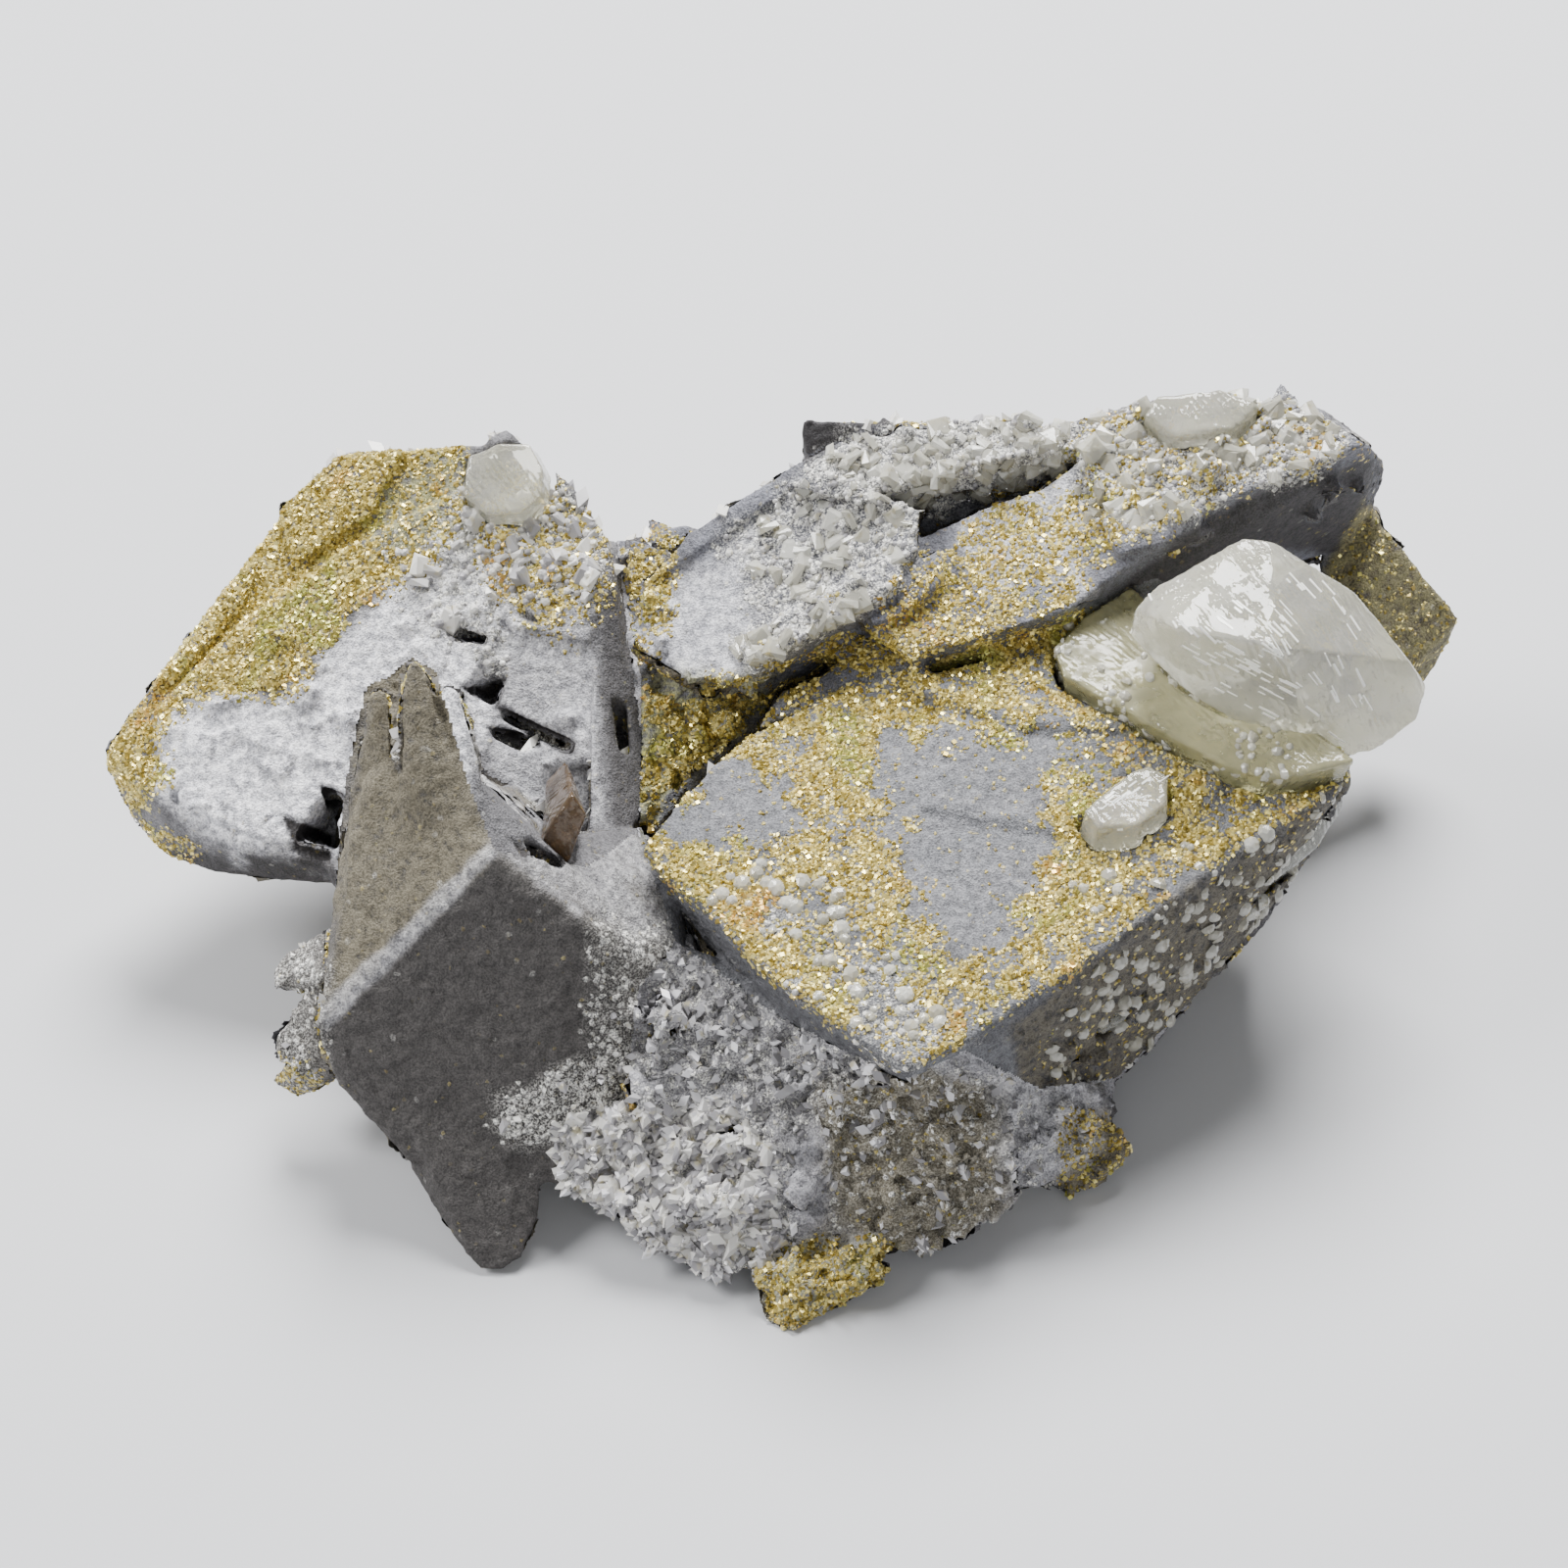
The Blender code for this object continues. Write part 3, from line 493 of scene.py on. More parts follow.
    height = number(tree, "ADD", number(tree, "MULTIPLY", fine, 0.8), number(tree, "MULTIPLY", grit, 0.45))
    height = number(tree, "ADD", height, number(tree, "MULTIPLY", gold, number(
        tree, "SUBTRACT", 1.0, gold_cell.outputs["Distance"])))
    height = number(tree, "ADD", height, number(tree, "MULTIPLY", white, number(
        tree, "MULTIPLY", 0.7, number(tree, "SUBTRACT", 1.0, white_cell.outputs["Distance"]))))
    rough = number(tree, "SUBTRACT", 0.72, number(tree, "MULTIPLY", gold, 0.32))
    rough = number(tree, "SUBTRACT+", rough, number(tree, "MULTIPLY", silver, 0.2))
    leave = node(tree, "NodeGroupOutput")
    for name, socket in (("Color", skin), ("Roughness", rough), ("Metallic", number(tree, "MULTIPLY", gold, 0.5)),
                         ("Height", height)):
        tree.links.new(socket, leave.inputs[name])
    return tree


DUSTED_STONE = skin_group()


def stone_finish(name, stone=STONE, deep_mottle_and_shade=DEEP_MOTTLE_AND_SHADE, mottle=0.5, relief=0.00024):
    """The dusted stone in one crystal's own colours; its deep colour is also the colour of its painted shade."""
    made, tree, shader = new_finish(name)
    look = node(tree, "ShaderNodeGroup", {"node_tree": DUSTED_STONE}, Stone=stone, Deep=deep_mottle_and_shade, Mottle=mottle)
    bump = node(tree, "ShaderNodeBump", None, Height=look.outputs["Height"], Distance=relief, Strength=1.0)
    for name in ("Color", "Roughness", "Metallic"):
        tree.links.new(look.outputs[name], shader.inputs["Base Color" if name == "Color" else name])
    tree.links.new(bump.outputs["Normal"], shader.inputs["Normal"])
    shader.inputs["Specular IOR Level"].default_value = 0.4
    return made


# The left crystal.
# A thick tabular crystal. Pyrite covers its upper left, a silvery layer has grown over its middle, and white
# calcite with pyrite grains covers its top right corner.

left = Skin("left_crystal", 0)
left.paint("gold", 0.95, ((90, 790), (100, 740), (150, 690), (235, 575), (330, 430), (470, 430), (480, 510), (465, 560),
                          (385, 605), (337, 655), (290, 715), (205, 705), (168, 735), (158, 800), (140, 830)), 12, 26)
left.paint("silver", 0.95, ((160, 745), (200, 705), (290, 712), (340, 650), (385, 600), (470, 545), (520, 600),
                            (545, 640), (500, 700), (478, 800), (350, 880), (240, 872), (160, 812)), 14, 26)
left.paint("white", 0.75, ((455, 560), (480, 500), (560, 470), (610, 520), (628, 600), (560, 620), (500, 610),
                           (450, 600)), 16, 24)
left.paint("white", 0.5, ((400, 560), (470, 520), (520, 600), (500, 680), (430, 640)), 20, 30)
left.paint("gold", 0.5, ((480, 520), (560, 480), (615, 520), (625, 620), (570, 650), (500, 620)), 18, 30)
left.paint("green", 0.55, ((385, 500), (430, 470), (480, 480), (475, 560), (420, 575), (380, 550)), 16, 20)
left.paint("gold", -0.6, ((385, 500), (430, 470), (480, 480), (475, 560), (420, 575), (380, 550)), 16, 20)
left.paint("silver", 0.35, ((530, 620), (600, 610), (620, 840), (560, 850), (500, 780), (510, 700)), 10, 8)
# Painted shade along the crystal's lower edge, which overhangs the table.
left.paint("dark", 0.85, ((90, 775), (140, 840), (165, 868), (250, 868), (350, 870), (350, 920), (200, 920),
                          (100, 860)), 8, 10)
left.paint("gold", 0.5, ((95, 770), (140, 835), (200, 860), (190, 900), (120, 870)), 10, 14)
# Painted shade in the crease at the crystal's right edge; the silvery layer is taken off there.
left.paint("dark", 0.7, ((622, 560), (655, 560), (668, 850), (625, 850), (610, 700)), 8, 8)
left.paint("silver", -0.8, ((622, 560), (655, 560), (668, 850), (625, 850), (610, 700)), 8, 8)
# Thin slots between the silvery plates, sunk into the skin and filled with painted shadow.
for slot in (((504, 722), (514, 722), (586, 758), (584, 770), (572, 768)), ((498, 742), (548, 752), (552, 762), (508, 754)),
             ((522, 854), (546, 868), (578, 878), (574, 890), (534, 880)), ((462, 698), (490, 702), (516, 692), (508, 722)),
             ((528, 620), (552, 630), (550, 638), (528, 630)), ((454, 640), (498, 650), (496, 660), (460, 652)),
             ((326, 800), (362, 816), (356, 828), (334, 824)), ((286, 830), (340, 852), (338, 884), (300, 868))):
    left.paint("silver", -1.0, slot, 3, 2)
    left.paint("gold", -1.0, slot, 3, 2)
    left.paint("dark", 1.0, slot, 3, 2)
    left.lift(left.patch(slot, 3, 2) * -0.3)
left.lift(rubble(left.points, 0.7, 3, 8) * (0.05 + 0.06 * left.fields["gold"] + 0.10 * left.fields["white"]))
left.lift(np.maximum(chips(left.points, 2.2, 2), 0) * 0.5 * left.fields["silver"])
left.lift(chips(left.points, 1.2, 13) * 0.08 * left.fields["silver"])
left.lift(np.maximum(chips(left.points, 1.0, 4), -0.1) * 0.35 * left.fields["white"])
left_piece = left.make(stone_finish("left crystal stone", mottle=0.35))


# The front crystal.
# A dark, spear-shaped crystal that stands in front on its tongue. Brown dust lies on its upper left face, and its steep
# front face is bare, with painted shade that makes it nearly black.

front = Skin("front_crystal", 1)
front.paint("brown", 0.75, ((340, 900), (374, 690), (420, 660), (470, 700), (505, 866), (420, 950), (330, 1035)), 12, 14)
# Painted shade on the steep front face, which faces away from the light.
front.paint("dark", 0.75, ((500, 880), (330, 1040), (320, 1070), (400, 1200), (560, 1160), (650, 1140), (640, 1000),
                           (600, 940), (540, 905)), 10, 12)
# Painted shade on the tongue, by the table.
front.paint("dark", 0.8, ((390, 1180), (560, 1150), (580, 1215), (560, 1310), (460, 1320)), 14, 20)
front.paint("silver", 0.3, ((505, 862), (600, 850), (650, 850), (690, 950), (650, 970), (600, 925), (540, 895)), 12, 12)
front.paint("white", 0.5, ((500, 1110), (560, 1100), (650, 1060), (660, 1150), (600, 1170), (520, 1160)), 14, 26)
front.paint("white", 0.3, ((600, 930), (690, 950), (670, 1090), (610, 1080)), 16, 20)
front.paint("white", 0.35, ((260, 960), (330, 930), (330, 1120), (260, 1120)), 14, 20)
front.paint("gold", 0.5, ((265, 1075), (320, 1085), (345, 1110), (300, 1130), (265, 1120)), 12, 16)
# Painted highlights: thin bright strips along the two edges of the upper left face.
front.paint("silver", 0.4, ((322, 1036), (500, 860), (510, 868), (334, 1048)), 5, 8)
front.paint("silver", 0.3, ((500, 860), (510, 856), (600, 930), (592, 940)), 5, 8)
# Painted shadow in the gaps between the points at the crystal's top, which are also sunk.
for gap in (((402, 700), (410, 700), (410, 790), (402, 790)), ((436, 696), (444, 696), (470, 764), (462, 768))):
    front.paint("dark", 0.9, gap, 3, 2)
    front.lift(front.patch(gap, 3, 2) * -0.3)
front.lift(rubble(front.points, 0.7, 3, 12) * (0.12 + 0.16 * front.fields["white"]))
front.lift(rubble(front.points * (2.4, 0.3, 0.3), 1.5, 3, 14) * 0.3 * front.fields["brown"])
front.lift(np.maximum(chips(front.points, 1.6, 15), 0) * 0.14)
front_piece = front.make(stone_finish("front crystal stone", colour(100, 97, 94), colour(54, 51, 51), 0.5))


# The right crystal.
# The largest crystal, a flat rhomb. Pyrite grains lie over its grey top in drifts, with small domes of white calcite
# among them, and its steep flank is brown, darkened by painted shade.

right = Skin("right_crystal", 2)
right.paint("gold", 0.95, ((655, 868), (700, 800), (765, 745), (850, 705), (1000, 655), (1095, 622), (1300, 640),
                           (1380, 770), (1372, 795), (1200, 905), (1090, 992), (985, 1062), (925, 1092), (780, 990)),
            10, 10)
right.paint("gold", -0.93, ((708, 775), (760, 760), (812, 775), (830, 830), (800, 868), (740, 872), (690, 850)), 12, 64, 1.8)
right.paint("gold", -0.93, ((890, 765), (950, 742), (1010, 765), (1085, 748), (1078, 830), (1062, 900), (1040, 975),
                            (985, 965), (935, 905), (905, 850)), 12, 64, 1.8)
right.paint("gold", -0.5, ((820, 880), (880, 900), (930, 990), (880, 1030), (800, 960)), 20, 80, 1.4)
right.paint("silver", 0.1, ((690, 850), (765, 745), (1090, 700), (1100, 850), (1040, 985), (940, 960), (800, 880)), 20, 20)
right.paint("beads", 0.42, ((700, 900), (760, 870), (860, 900), (960, 1010), (990, 1060), (925, 1085), (840, 1030)), 18, 30)
right.paint("beads", 0.6, ((1100, 640), (1190, 610), (1180, 700), (1090, 700)), 18, 26)
# Painted light: the yellow-green under the large clear crystal stands for light passed through it onto the gold.
right.paint("green", 0.6, ((1090, 625), (1150, 640), (1230, 720), (1380, 780), (1340, 810), (1240, 790), (1150, 740),
                           (1060, 660)), 14, 14)
# Painted shade on the steep flank, which faces away from the light; the brown and the grains on it are its own.
right.paint("dark", 0.95, ((1372, 800), (1200, 912), (1090, 1000), (1030, 1045), (1040, 1120), (1150, 1120),
                           (1320, 960), (1400, 830)), 8, 8)
right.paint("brown", 0.5, ((1372, 800), (1200, 912), (1090, 1000), (1030, 1045), (1040, 1120), (1150, 1120),
                           (1320, 960), (1400, 830)), 10, 16)
right.paint("gold", 0.1, ((1372, 800), (1200, 912), (1090, 1000), (1040, 1100), (1150, 1110), (1320, 960)), 10, 16)
right.paint("beads", 0.3, ((1372, 800), (1200, 912), (1090, 1000), (1040, 1100), (1150, 1110), (1320, 960)), 10, 30)
right.paint("beads", 0.2, ((1090, 900), (1360, 790), (1200, 905), (1100, 985)), 14, 24)
right.paint("white", 0.25, ((760, 930), (860, 960), (960, 1010), (990, 1060), (925, 1085), (840, 1030)), 18, 50)
# Painted shade in a strip below the lower left edge.
right.paint("dark", 0.55, ((650, 872), (780, 994), (925, 1096), (880, 1100), (700, 960)), 8, 8)
clumps = smooth(rubble(right.points, 1.1, 3, 70) * 0.8 + waves(right.points, 5.0, 71), 0.14, 0.5)
right.fields["gold"] *= 0.3 + 0.7 * clumps
right.lift(chips(right.points, 1.3, 16) * 0.08 + rubble(right.points, 4.0, 3, 17) * 0.1)
right.lift(rubble(right.points, 0.6, 3, 22) * (0.06 + 0.07 * right.fields["gold"] + 0.09 * right.fields["white"]))
right.lift(np.maximum(chips(right.points, 0.9, 5), 0) * 0.3 * right.fields["dark"])
right_piece = right.make(stone_finish("right crystal stone", colour(106, 107, 111), colour(66, 65, 68), 0.5))


# The back ridge.
# A stack of thick plates that step over each other. Its crest and its left plate have a white, sugary crust, pyrite
# dust lies in the hollows, and painted shade darkens the steep faces and the hollow at its foot.

ridge = Skin("back_ridge", 3)
ridge.paint("silver", 0.5, ((640, 650), (665, 610), (770, 540), (760, 690), (700, 690)), 16, 20)
ridge.paint("white", 0.6, ((750, 560), (800, 500), (870, 450), (960, 470), (930, 560), (850, 620), (770, 650)), 18, 36)
ridge.paint("white", 0.8, ((750, 655), (830, 620), (925, 575), (925, 605), (830, 650), (765, 690)), 8, 10)
ridge.paint("white", 0.9, ((820, 480), (868, 440), (1000, 418), (1100, 412), (1110, 460), (1060, 495), (940, 525),
                           (890, 515)), 12, 20)
ridge.paint("white", 0.75, ((1095, 470), (1110, 420), (1250, 390), (1410, 440), (1330, 480), (1230, 520), (1120, 540)),
            12, 24)
ridge.paint("gold", 0.35, ((1095, 470), (1110, 420), (1250, 390), (1410, 440), (1330, 480), (1130, 530)), 16, 40)
ridge.paint("gold", 0.6, ((925, 580), (1000, 530), (1090, 490), (1200, 520), (1130, 580), (1060, 600), (960, 660),
                          (900, 640)), 16, 40)
ridge.paint("silver", 0.5, ((960, 530), (1090, 480), (1110, 600), (1010, 600)), 18, 40)
ridge.paint("gold", 0.7, ((640, 620), (680, 700), (760, 700), (880, 640), (1090, 600), (1000, 655), (850, 705),
                          (765, 742), (700, 795), (655, 860)), 16, 60)
ridge.paint("green", 0.6, ((640, 700), (700, 680), (790, 700), (765, 742), (700, 795), (655, 860)), 18, 30)
ridge.paint("gold", 0.8, ((630, 560), (690, 545), (680, 640), (640, 640)), 14, 20)
# Painted shade on the steep face under the crest, which faces away from the light.
ridge.paint("dark", 0.9, ((1100, 625), (1232, 528), (1330, 485), (1410, 460), (1425, 510), (1390, 570), (1290, 560),
                          (1180, 605)), 8, 8)
# Painted shade in a strip along the crest.
ridge.paint("dark", 0.95, ((795, 415), (1000, 415), (985, 432), (880, 440), (820, 480)), 6, 6)
ridge.paint("gold", 0.14, ((1350, 580), (1392, 510), (1500, 630), (1460, 710), (1380, 650)), 6, 6)
ridge.paint("green", 0.22, ((1350, 580), (1392, 510), (1500, 630), (1460, 710), (1380, 650)), 6, 6)
ridge.paint("brown", 1.0, ((1350, 580), (1392, 510), (1500, 630), (1460, 710), (1380, 650)), 6, 6)
# Painted shade in the hollow at the ridge's foot, between the crystals.
ridge.paint("dark", 0.35, ((625, 640), (690, 690), (790, 690), (765, 745), (700, 800), (655, 865), (635, 800)), 30, 90, 1.1)
pocket = ridge.patch(((620, 600), (690, 690), (800, 680), (765, 745), (700, 800), (655, 865), (630, 800)), 16, 16)
ridge.lift(chips(ridge.points, 1.4, 12) * 1.0 * pocket)
ridge.lift(rubble(ridge.points * (1, 0.4, 1), 1.0, 2, 18) * 0.1)
ridge.lift(rubble(ridge.points, 0.7, 3, 32) * (0.06 + 0.10 * ridge.fields["gold"] + 0.12 * ridge.fields["white"]))
ridge.lift(np.maximum(chips(ridge.points, 1.1, 6), -0.2) * 0.45 * ridge.fields["white"])
ridge.lift(chips(ridge.points, 0.9, 7) * 0.3 * ridge.fields["green"])
ridge_piece = ridge.make(stone_finish("back ridge stone", colour(116, 117, 126), DEEP_MOTTLE_AND_SHADE, 0.4))


# The matrix in front.
# Crumbly stone under the crystals, all over small calcite crystals: blue-grey above, white on the left, brown
# in the middle and gold on the lobe that touches the table.

matrix = Skin("front_matrix", 4)
matrix.paint("white", 0.85, ((560, 1150), (640, 1110), (720, 1120), (800, 1180), (800, 1290), (720, 1320), (640, 1290),
                             (570, 1230)), 18, 30)
matrix.paint("white", 0.3, ((650, 960), (780, 1000), (920, 1100), (900, 1160), (700, 1140), (650, 1080)), 18, 40)
matrix.paint("white", 0.14, ((830, 1080), (930, 1060), (1060, 1090), (1090, 1240), (940, 1290), (850, 1250)), 16, 50)
matrix.paint("brown", 0.9, ((830, 1110), (930, 1080), (1030, 1110), (1040, 1240), (940, 1290), (850, 1250)), 16, 20)
matrix.paint("gold", 0.04, ((830, 1110), (930, 1080), (1030, 1110), (1040, 1240), (940, 1290), (850, 1250)), 16, 30)
matrix.paint("green", 0.5, ((755, 1265), (920, 1270), (920, 1310), (820, 1375), (770, 1360)), 12, 18)
matrix.paint("gold", 0.6, ((755, 1265), (920, 1270), (920, 1310), (820, 1375), (770, 1360)), 12, 18)
matrix.paint("brown", 0.9, ((1085, 1130), (1160, 1130), (1165, 1225), (1080, 1225)), 12, 18)
matrix.paint("gold", 0.3, ((1085, 1130), (1160, 1130), (1165, 1225), (1080, 1225)), 12, 18)
matrix.paint("silver", 0.4, ((1000, 1080), (1120, 1080), (1120, 1190), (1010, 1200)), 14, 20)
# Painted shade on the matrix under the right crystal's overhanging lower edge.
matrix.paint("dark", 0.22, ((640, 960), (780, 990), (920, 1100), (860, 1140), (700, 1120), (650, 1080)), 30, 90, 1.4)
matrix.lift(chips(matrix.points, 2.2, 8) * 0.7 + chips(matrix.points, 1.0, 9) * 0.45)
matrix.lift(rubble(matrix.points, 0.6, 3, 42) * 0.12)
matrix_piece = matrix.make(stone_finish("matrix stone", colour(168, 167, 172), colour(84, 82, 83), 0.6))


# The hidden sides.
# The underside and the back are broken matrix and cleavage faces, unevenly dusted like the front.

low_pieces, back_pieces = [], []
for side, step in (("left", 0), ("right", 2)):
    low = Skin(f"underside_stone_{side}", 5 + step)
    low.dust("brown", 0.7, 9.0, 0.45, 1)
    low.dust("gold", 0.55, 7.0, 0.3, 2)
    low.dust("white", 0.5, 6.0, 0.25, 3)
    clear_of_table = smooth(low.points[:, 2], 0.3, 2.0)
    low.lift((chips(low.points, 3.0, 10) * 0.6 + chips(low.points, 1.3, 11) * 0.3) * clear_of_table)
    low_pieces.append(low.make(stone_finish(f"underside stone {side}", colour(104, 102, 104), colour(62, 60, 60), 0.6)))

    back = Skin(f"back_stone_{side}", 6 + step)
    back.dust("brown", 0.6, 9.0, 0.4, 4)
    back.dust("gold", 0.7, 8.0, 0.35, 5)
    back.dust("white", 0.65, 6.0, 0.3, 6)
    back.dust("silver", 0.5, 10.0, 0.35, 7)
    back.lift((chips(back.points, 3.0, 10) * 0.5 + chips(back.points, 1.3, 11) * 0.25)
              * (0.3 + 0.7 * waves(back.points, 9.0, 5)))
    back.lift(rubble(back.points, 0.7, 3, 52) * 0.08)
    back_pieces.append(back.make(stone_finish(f"back stone {side}", colour(112, 112, 118), colour(66, 63, 64), 0.5)))


# The pyrite grains.
# Small cubes of pyrite sit on the gold areas of every crystal. Most are a quarter of a millimetre across.

def grain_tree():
    """Stands small copies of a shape on a skin, where the skin's field says."""
    tree = bpy.data.node_groups.new("standing grains", "GeometryNodeTree")
    sockets = tree.interface
    sockets.new_socket("Geometry", in_out="OUTPUT", socket_type="NodeSocketGeometry")
    sockets.new_socket("Geometry", in_out="INPUT", socket_type="NodeSocketGeometry")
    for name, kind in (("Field", "String"), ("Per Square Metre", "Float"), ("Least Field", "Float"),
                       ("Smallest", "Float"), ("Largest", "Float"), ("Lean", "Float"), ("Sunk", "Float"),
                       ("Shape", "Object"), ("Finish", "Material"), ("Seed", "Int")):
        sockets.new_socket(name, in_out="INPUT", socket_type=f"NodeSocket{kind}")
    entry = node(tree, "NodeGroupInput")
    value = entry.outputs
    field = node(tree, "GeometryNodeInputNamedAttribute", {"data_type": "FLOAT"}, Name=value["Field"])
    spare = number(tree, "SUBTRACT", field.outputs["Attribute"], value["Least Field"])
    share = number(tree, "DIVIDE+", spare, number(tree, "SUBTRACT", 1.001, value["Least Field"]))
    density = number(tree, "MULTIPLY", share, value["Per Square Metre"])
    spots = node(tree, "GeometryNodeDistributePointsOnFaces", None, Mesh=value["Geometry"], Density=density,
                 Seed=value["Seed"])
    size = node(tree, "FunctionNodeRandomValue", {"data_type": "FLOAT"})
    tree.links.new(value["Smallest"], size.inputs[2])
    tree.links.new(value["Largest"], size.inputs[3])
    tree.links.new(value["Seed"], size.inputs["Seed"])
    lean = node(tree, "FunctionNodeRandomValue", {"data_type": "FLOAT_VECTOR"})
    high = node(tree, "ShaderNodeCombineXYZ", None, X=value["Lean"], Y=value["Lean"], Z=3.1)
    low = node(tree, "ShaderNodeVectorMath", {"operation": "SCALE"}, Vector=high.outputs[0], Scale=-1.0)
    tree.links.new(low.outputs[0], lean.inputs[0])
    tree.links.new(high.outputs[0], lean.inputs[1])
    tree.links.new(number(tree, "ADD", value["Seed"], 5.0), lean.inputs["Seed"])
    turned = node(tree, "FunctionNodeRotateRotation", {"rotation_space": "LOCAL"}, Rotation=spots.outputs["Rotation"])
    tree.links.new(lean.outputs[0], turned.inputs["Rotate By"])
    sink = node(tree, "ShaderNodeVectorMath", {"operation": "SCALE"}, Vector=spots.outputs["Normal"])
    tree.links.new(number(tree, "MULTIPLY", number(tree, "MULTIPLY", size.outputs[1], value["Sunk"]), -1.0),
                   sink.inputs["Scale"])
    placed = node(tree, "GeometryNodeSetPosition", None, Geometry=spots.outputs["Points"], Offset=sink.outputs[0])
    shape = node(tree, "GeometryNodeObjectInfo", None, Object=value["Shape"])
    grown = node(tree, "GeometryNodeInstanceOnPoints", None, Points=placed.outputs[0],
                 Instance=shape.outputs["Geometry"], Rotation=turned.outputs[0], Scale=size.outputs[1])
    tint = node(tree, "FunctionNodeRandomValue", {"data_type": "FLOAT"})
    tree.links.new(number(tree, "ADD", value["Seed"], 9.0), tint.inputs["Seed"])
    marked = node(tree, "GeometryNodeStoreNamedAttribute", {"data_type": "FLOAT", "domain": "INSTANCE"},
                  Geometry=grown.outputs[0], Name="tint", Value=tint.outputs[1])
    real = node(tree, "GeometryNodeRealizeInstances", None, Geometry=marked.outputs[0])
    done = node(tree, "GeometryNodeSetMaterial", None, Geometry=real.outputs[0], Material=value["Finish"])
    leave = node(tree, "NodeGroupOutput")
    tree.links.new(done.outputs[0], leave.inputs[0])
    return tree


GRAIN_TREE = grain_tree()


def grow(name, skin, cad_slot, **values):
    """Grows grains on a skin's piece with the tree's named inputs, and makes them a plain mesh."""
    carrier = link(bpy.data.objects.new(name, skin.data.copy()))
    modifier = carrier.modifiers.new("grains", "NODES")
    modifier.node_group = GRAIN_TREE
    for item in GRAIN_TREE.interface.items_tree:
        key = item.name.replace(" ", "_").lower()
        if item.in_out == "INPUT" and key in values:
            modifier[item.identifier] = values[key]
    grown = bpy.data.meshes.new_from_object(carrier.evaluated_get(bpy.context.evaluated_depsgraph_get()))
    carrier.modifiers.remove(modifier)
    carrier.data = grown
    corners = np.empty(len(grown.vertices) * 3)
    grown.vertices.foreach_get("co", corners)
    corners[2::3] = np.maximum(corners[2::3], 0)
    grown.vertices.foreach_set("co", corners)
    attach(carrier, "root")
    return carrier


def shape_of(name, corners):
    """A small closed shape round its corners, one unit in size."""
    bm = bmesh.new()
    for corner in corners:
        bm.verts.new(corner)
    made = bmesh.ops.convex_hull(bm, input=bm.verts)
    spare = {e for e in made["geom_interior"] + made["geom_unused"] if isinstance(e, bmesh.types.BMVert)}
    bmesh.ops.delete(bm, geom=list(spare), context="VERTS")
    bmesh.ops.recalc_face_normals(bm, faces=bm.faces)
    shape = bpy.data.objects.new(name, bpy.data.meshes.new(name))
    bm.to_mesh(shape.data)
    bm.free()
    return link(shape)


def ring(count, radius, height, turn=0.0):
    angles = [math.tau * k / count + turn for k in range(count)]
    return [(radius * math.cos(a), radius * math.sin(a), height) for a in angles]


PYRITE_PER_MM2 = 20.0
PYRITE_SIZES = (0.00012, 0.00027)

cube = shape_of("pyrite shape", ring(4, 0.7, -0.5) + ring(4, 0.7, 0.5))
pyrite, tree, shader = new_finish("pyrite grains")
tint = node(tree, "ShaderNodeAttribute", {"attribute_name": "tint"}).outputs["Fac"]
place = node(tree, "ShaderNodeTexCoord").outputs["Object"]
drift = node(tree, "ShaderNodeTexNoise", None, Vector=place, Scale=240.0, Detail=2.0).outputs["Fac"]
tone = blend(tree, ramp(tree, tint, 0.0, 1.0), colour(246, 230, 150), colour(160, 140, 66))
tone = blend(tree, ramp(tree, drift, 0.6, 0.74), tone, colour(212, 172, 100))
tone = blend(tree, ramp(tree, drift, 0.46, 0.32), tone, colour(186, 184, 104))
tree.links.new(tone, shader.inputs["Base Color"])
shader.inputs["Metallic"].default_value = 0.7
shader.inputs["Roughness"].default_value = 0.34

for name, piece, share, seed in (
        ("left", left_piece, 1.0, 1), ("right", right_piece, 1.0, 2), ("ridge", ridge_piece, 1.0, 3),
        ("matrix", matrix_piece, 1.0, 4), ("back_left", back_pieces[0], 0.35, 5), ("back_right", back_pieces[1], 0.35, 6),
        ("underside_left", low_pieces[0], 0.35, 7), ("underside_right", low_pieces[1], 0.35, 8)):
    grow(f"pyrite_grains_{name}", piece, "dark_calcite", field="gold", per_square_metre=PYRITE_PER_MM2 * 1e6 * share,
         least_field=0.12, smallest=PYRITE_SIZES[0], largest=PYRITE_SIZES[1], lean=1.5, sunk=0.25, shape=cube,
         finish=pyrite, seed=seed)
bpy.data.objects.remove(cube)


# The white calcite grains and the small crystals.
# Domes and stubby pointed crystals of nearly white calcite stand on the crusts and in the druse of the matrix.

spear = shape_of("small crystal shape", [(0, 0, 1.0), (0, 0, -1.0)] + ring(3, 0.42, 0.42) + ring(3, 0.46, -0.3, 1.05))
plate = shape_of("platy crystal shape", ring(4, 0.75, -0.14) + ring(4, 0.6, 0.16, 0.2) + [(0.3, 0.1, 0.24)])
dome = shape_of("dome shape", [(0, 0, 0.42)] + ring(6, 0.5, 0.0) + ring(6, 0.36, 0.28, 0.4) + ring(6, 0.36, -0.3))
lens = shape_of("lens shape", [(0.05, 0, 0.3)] + ring(8, 0.5, -0.1) + ring(7, 0.44, 0.1, 0.3) + ring(6, 0.26, 0.26, 0.1))


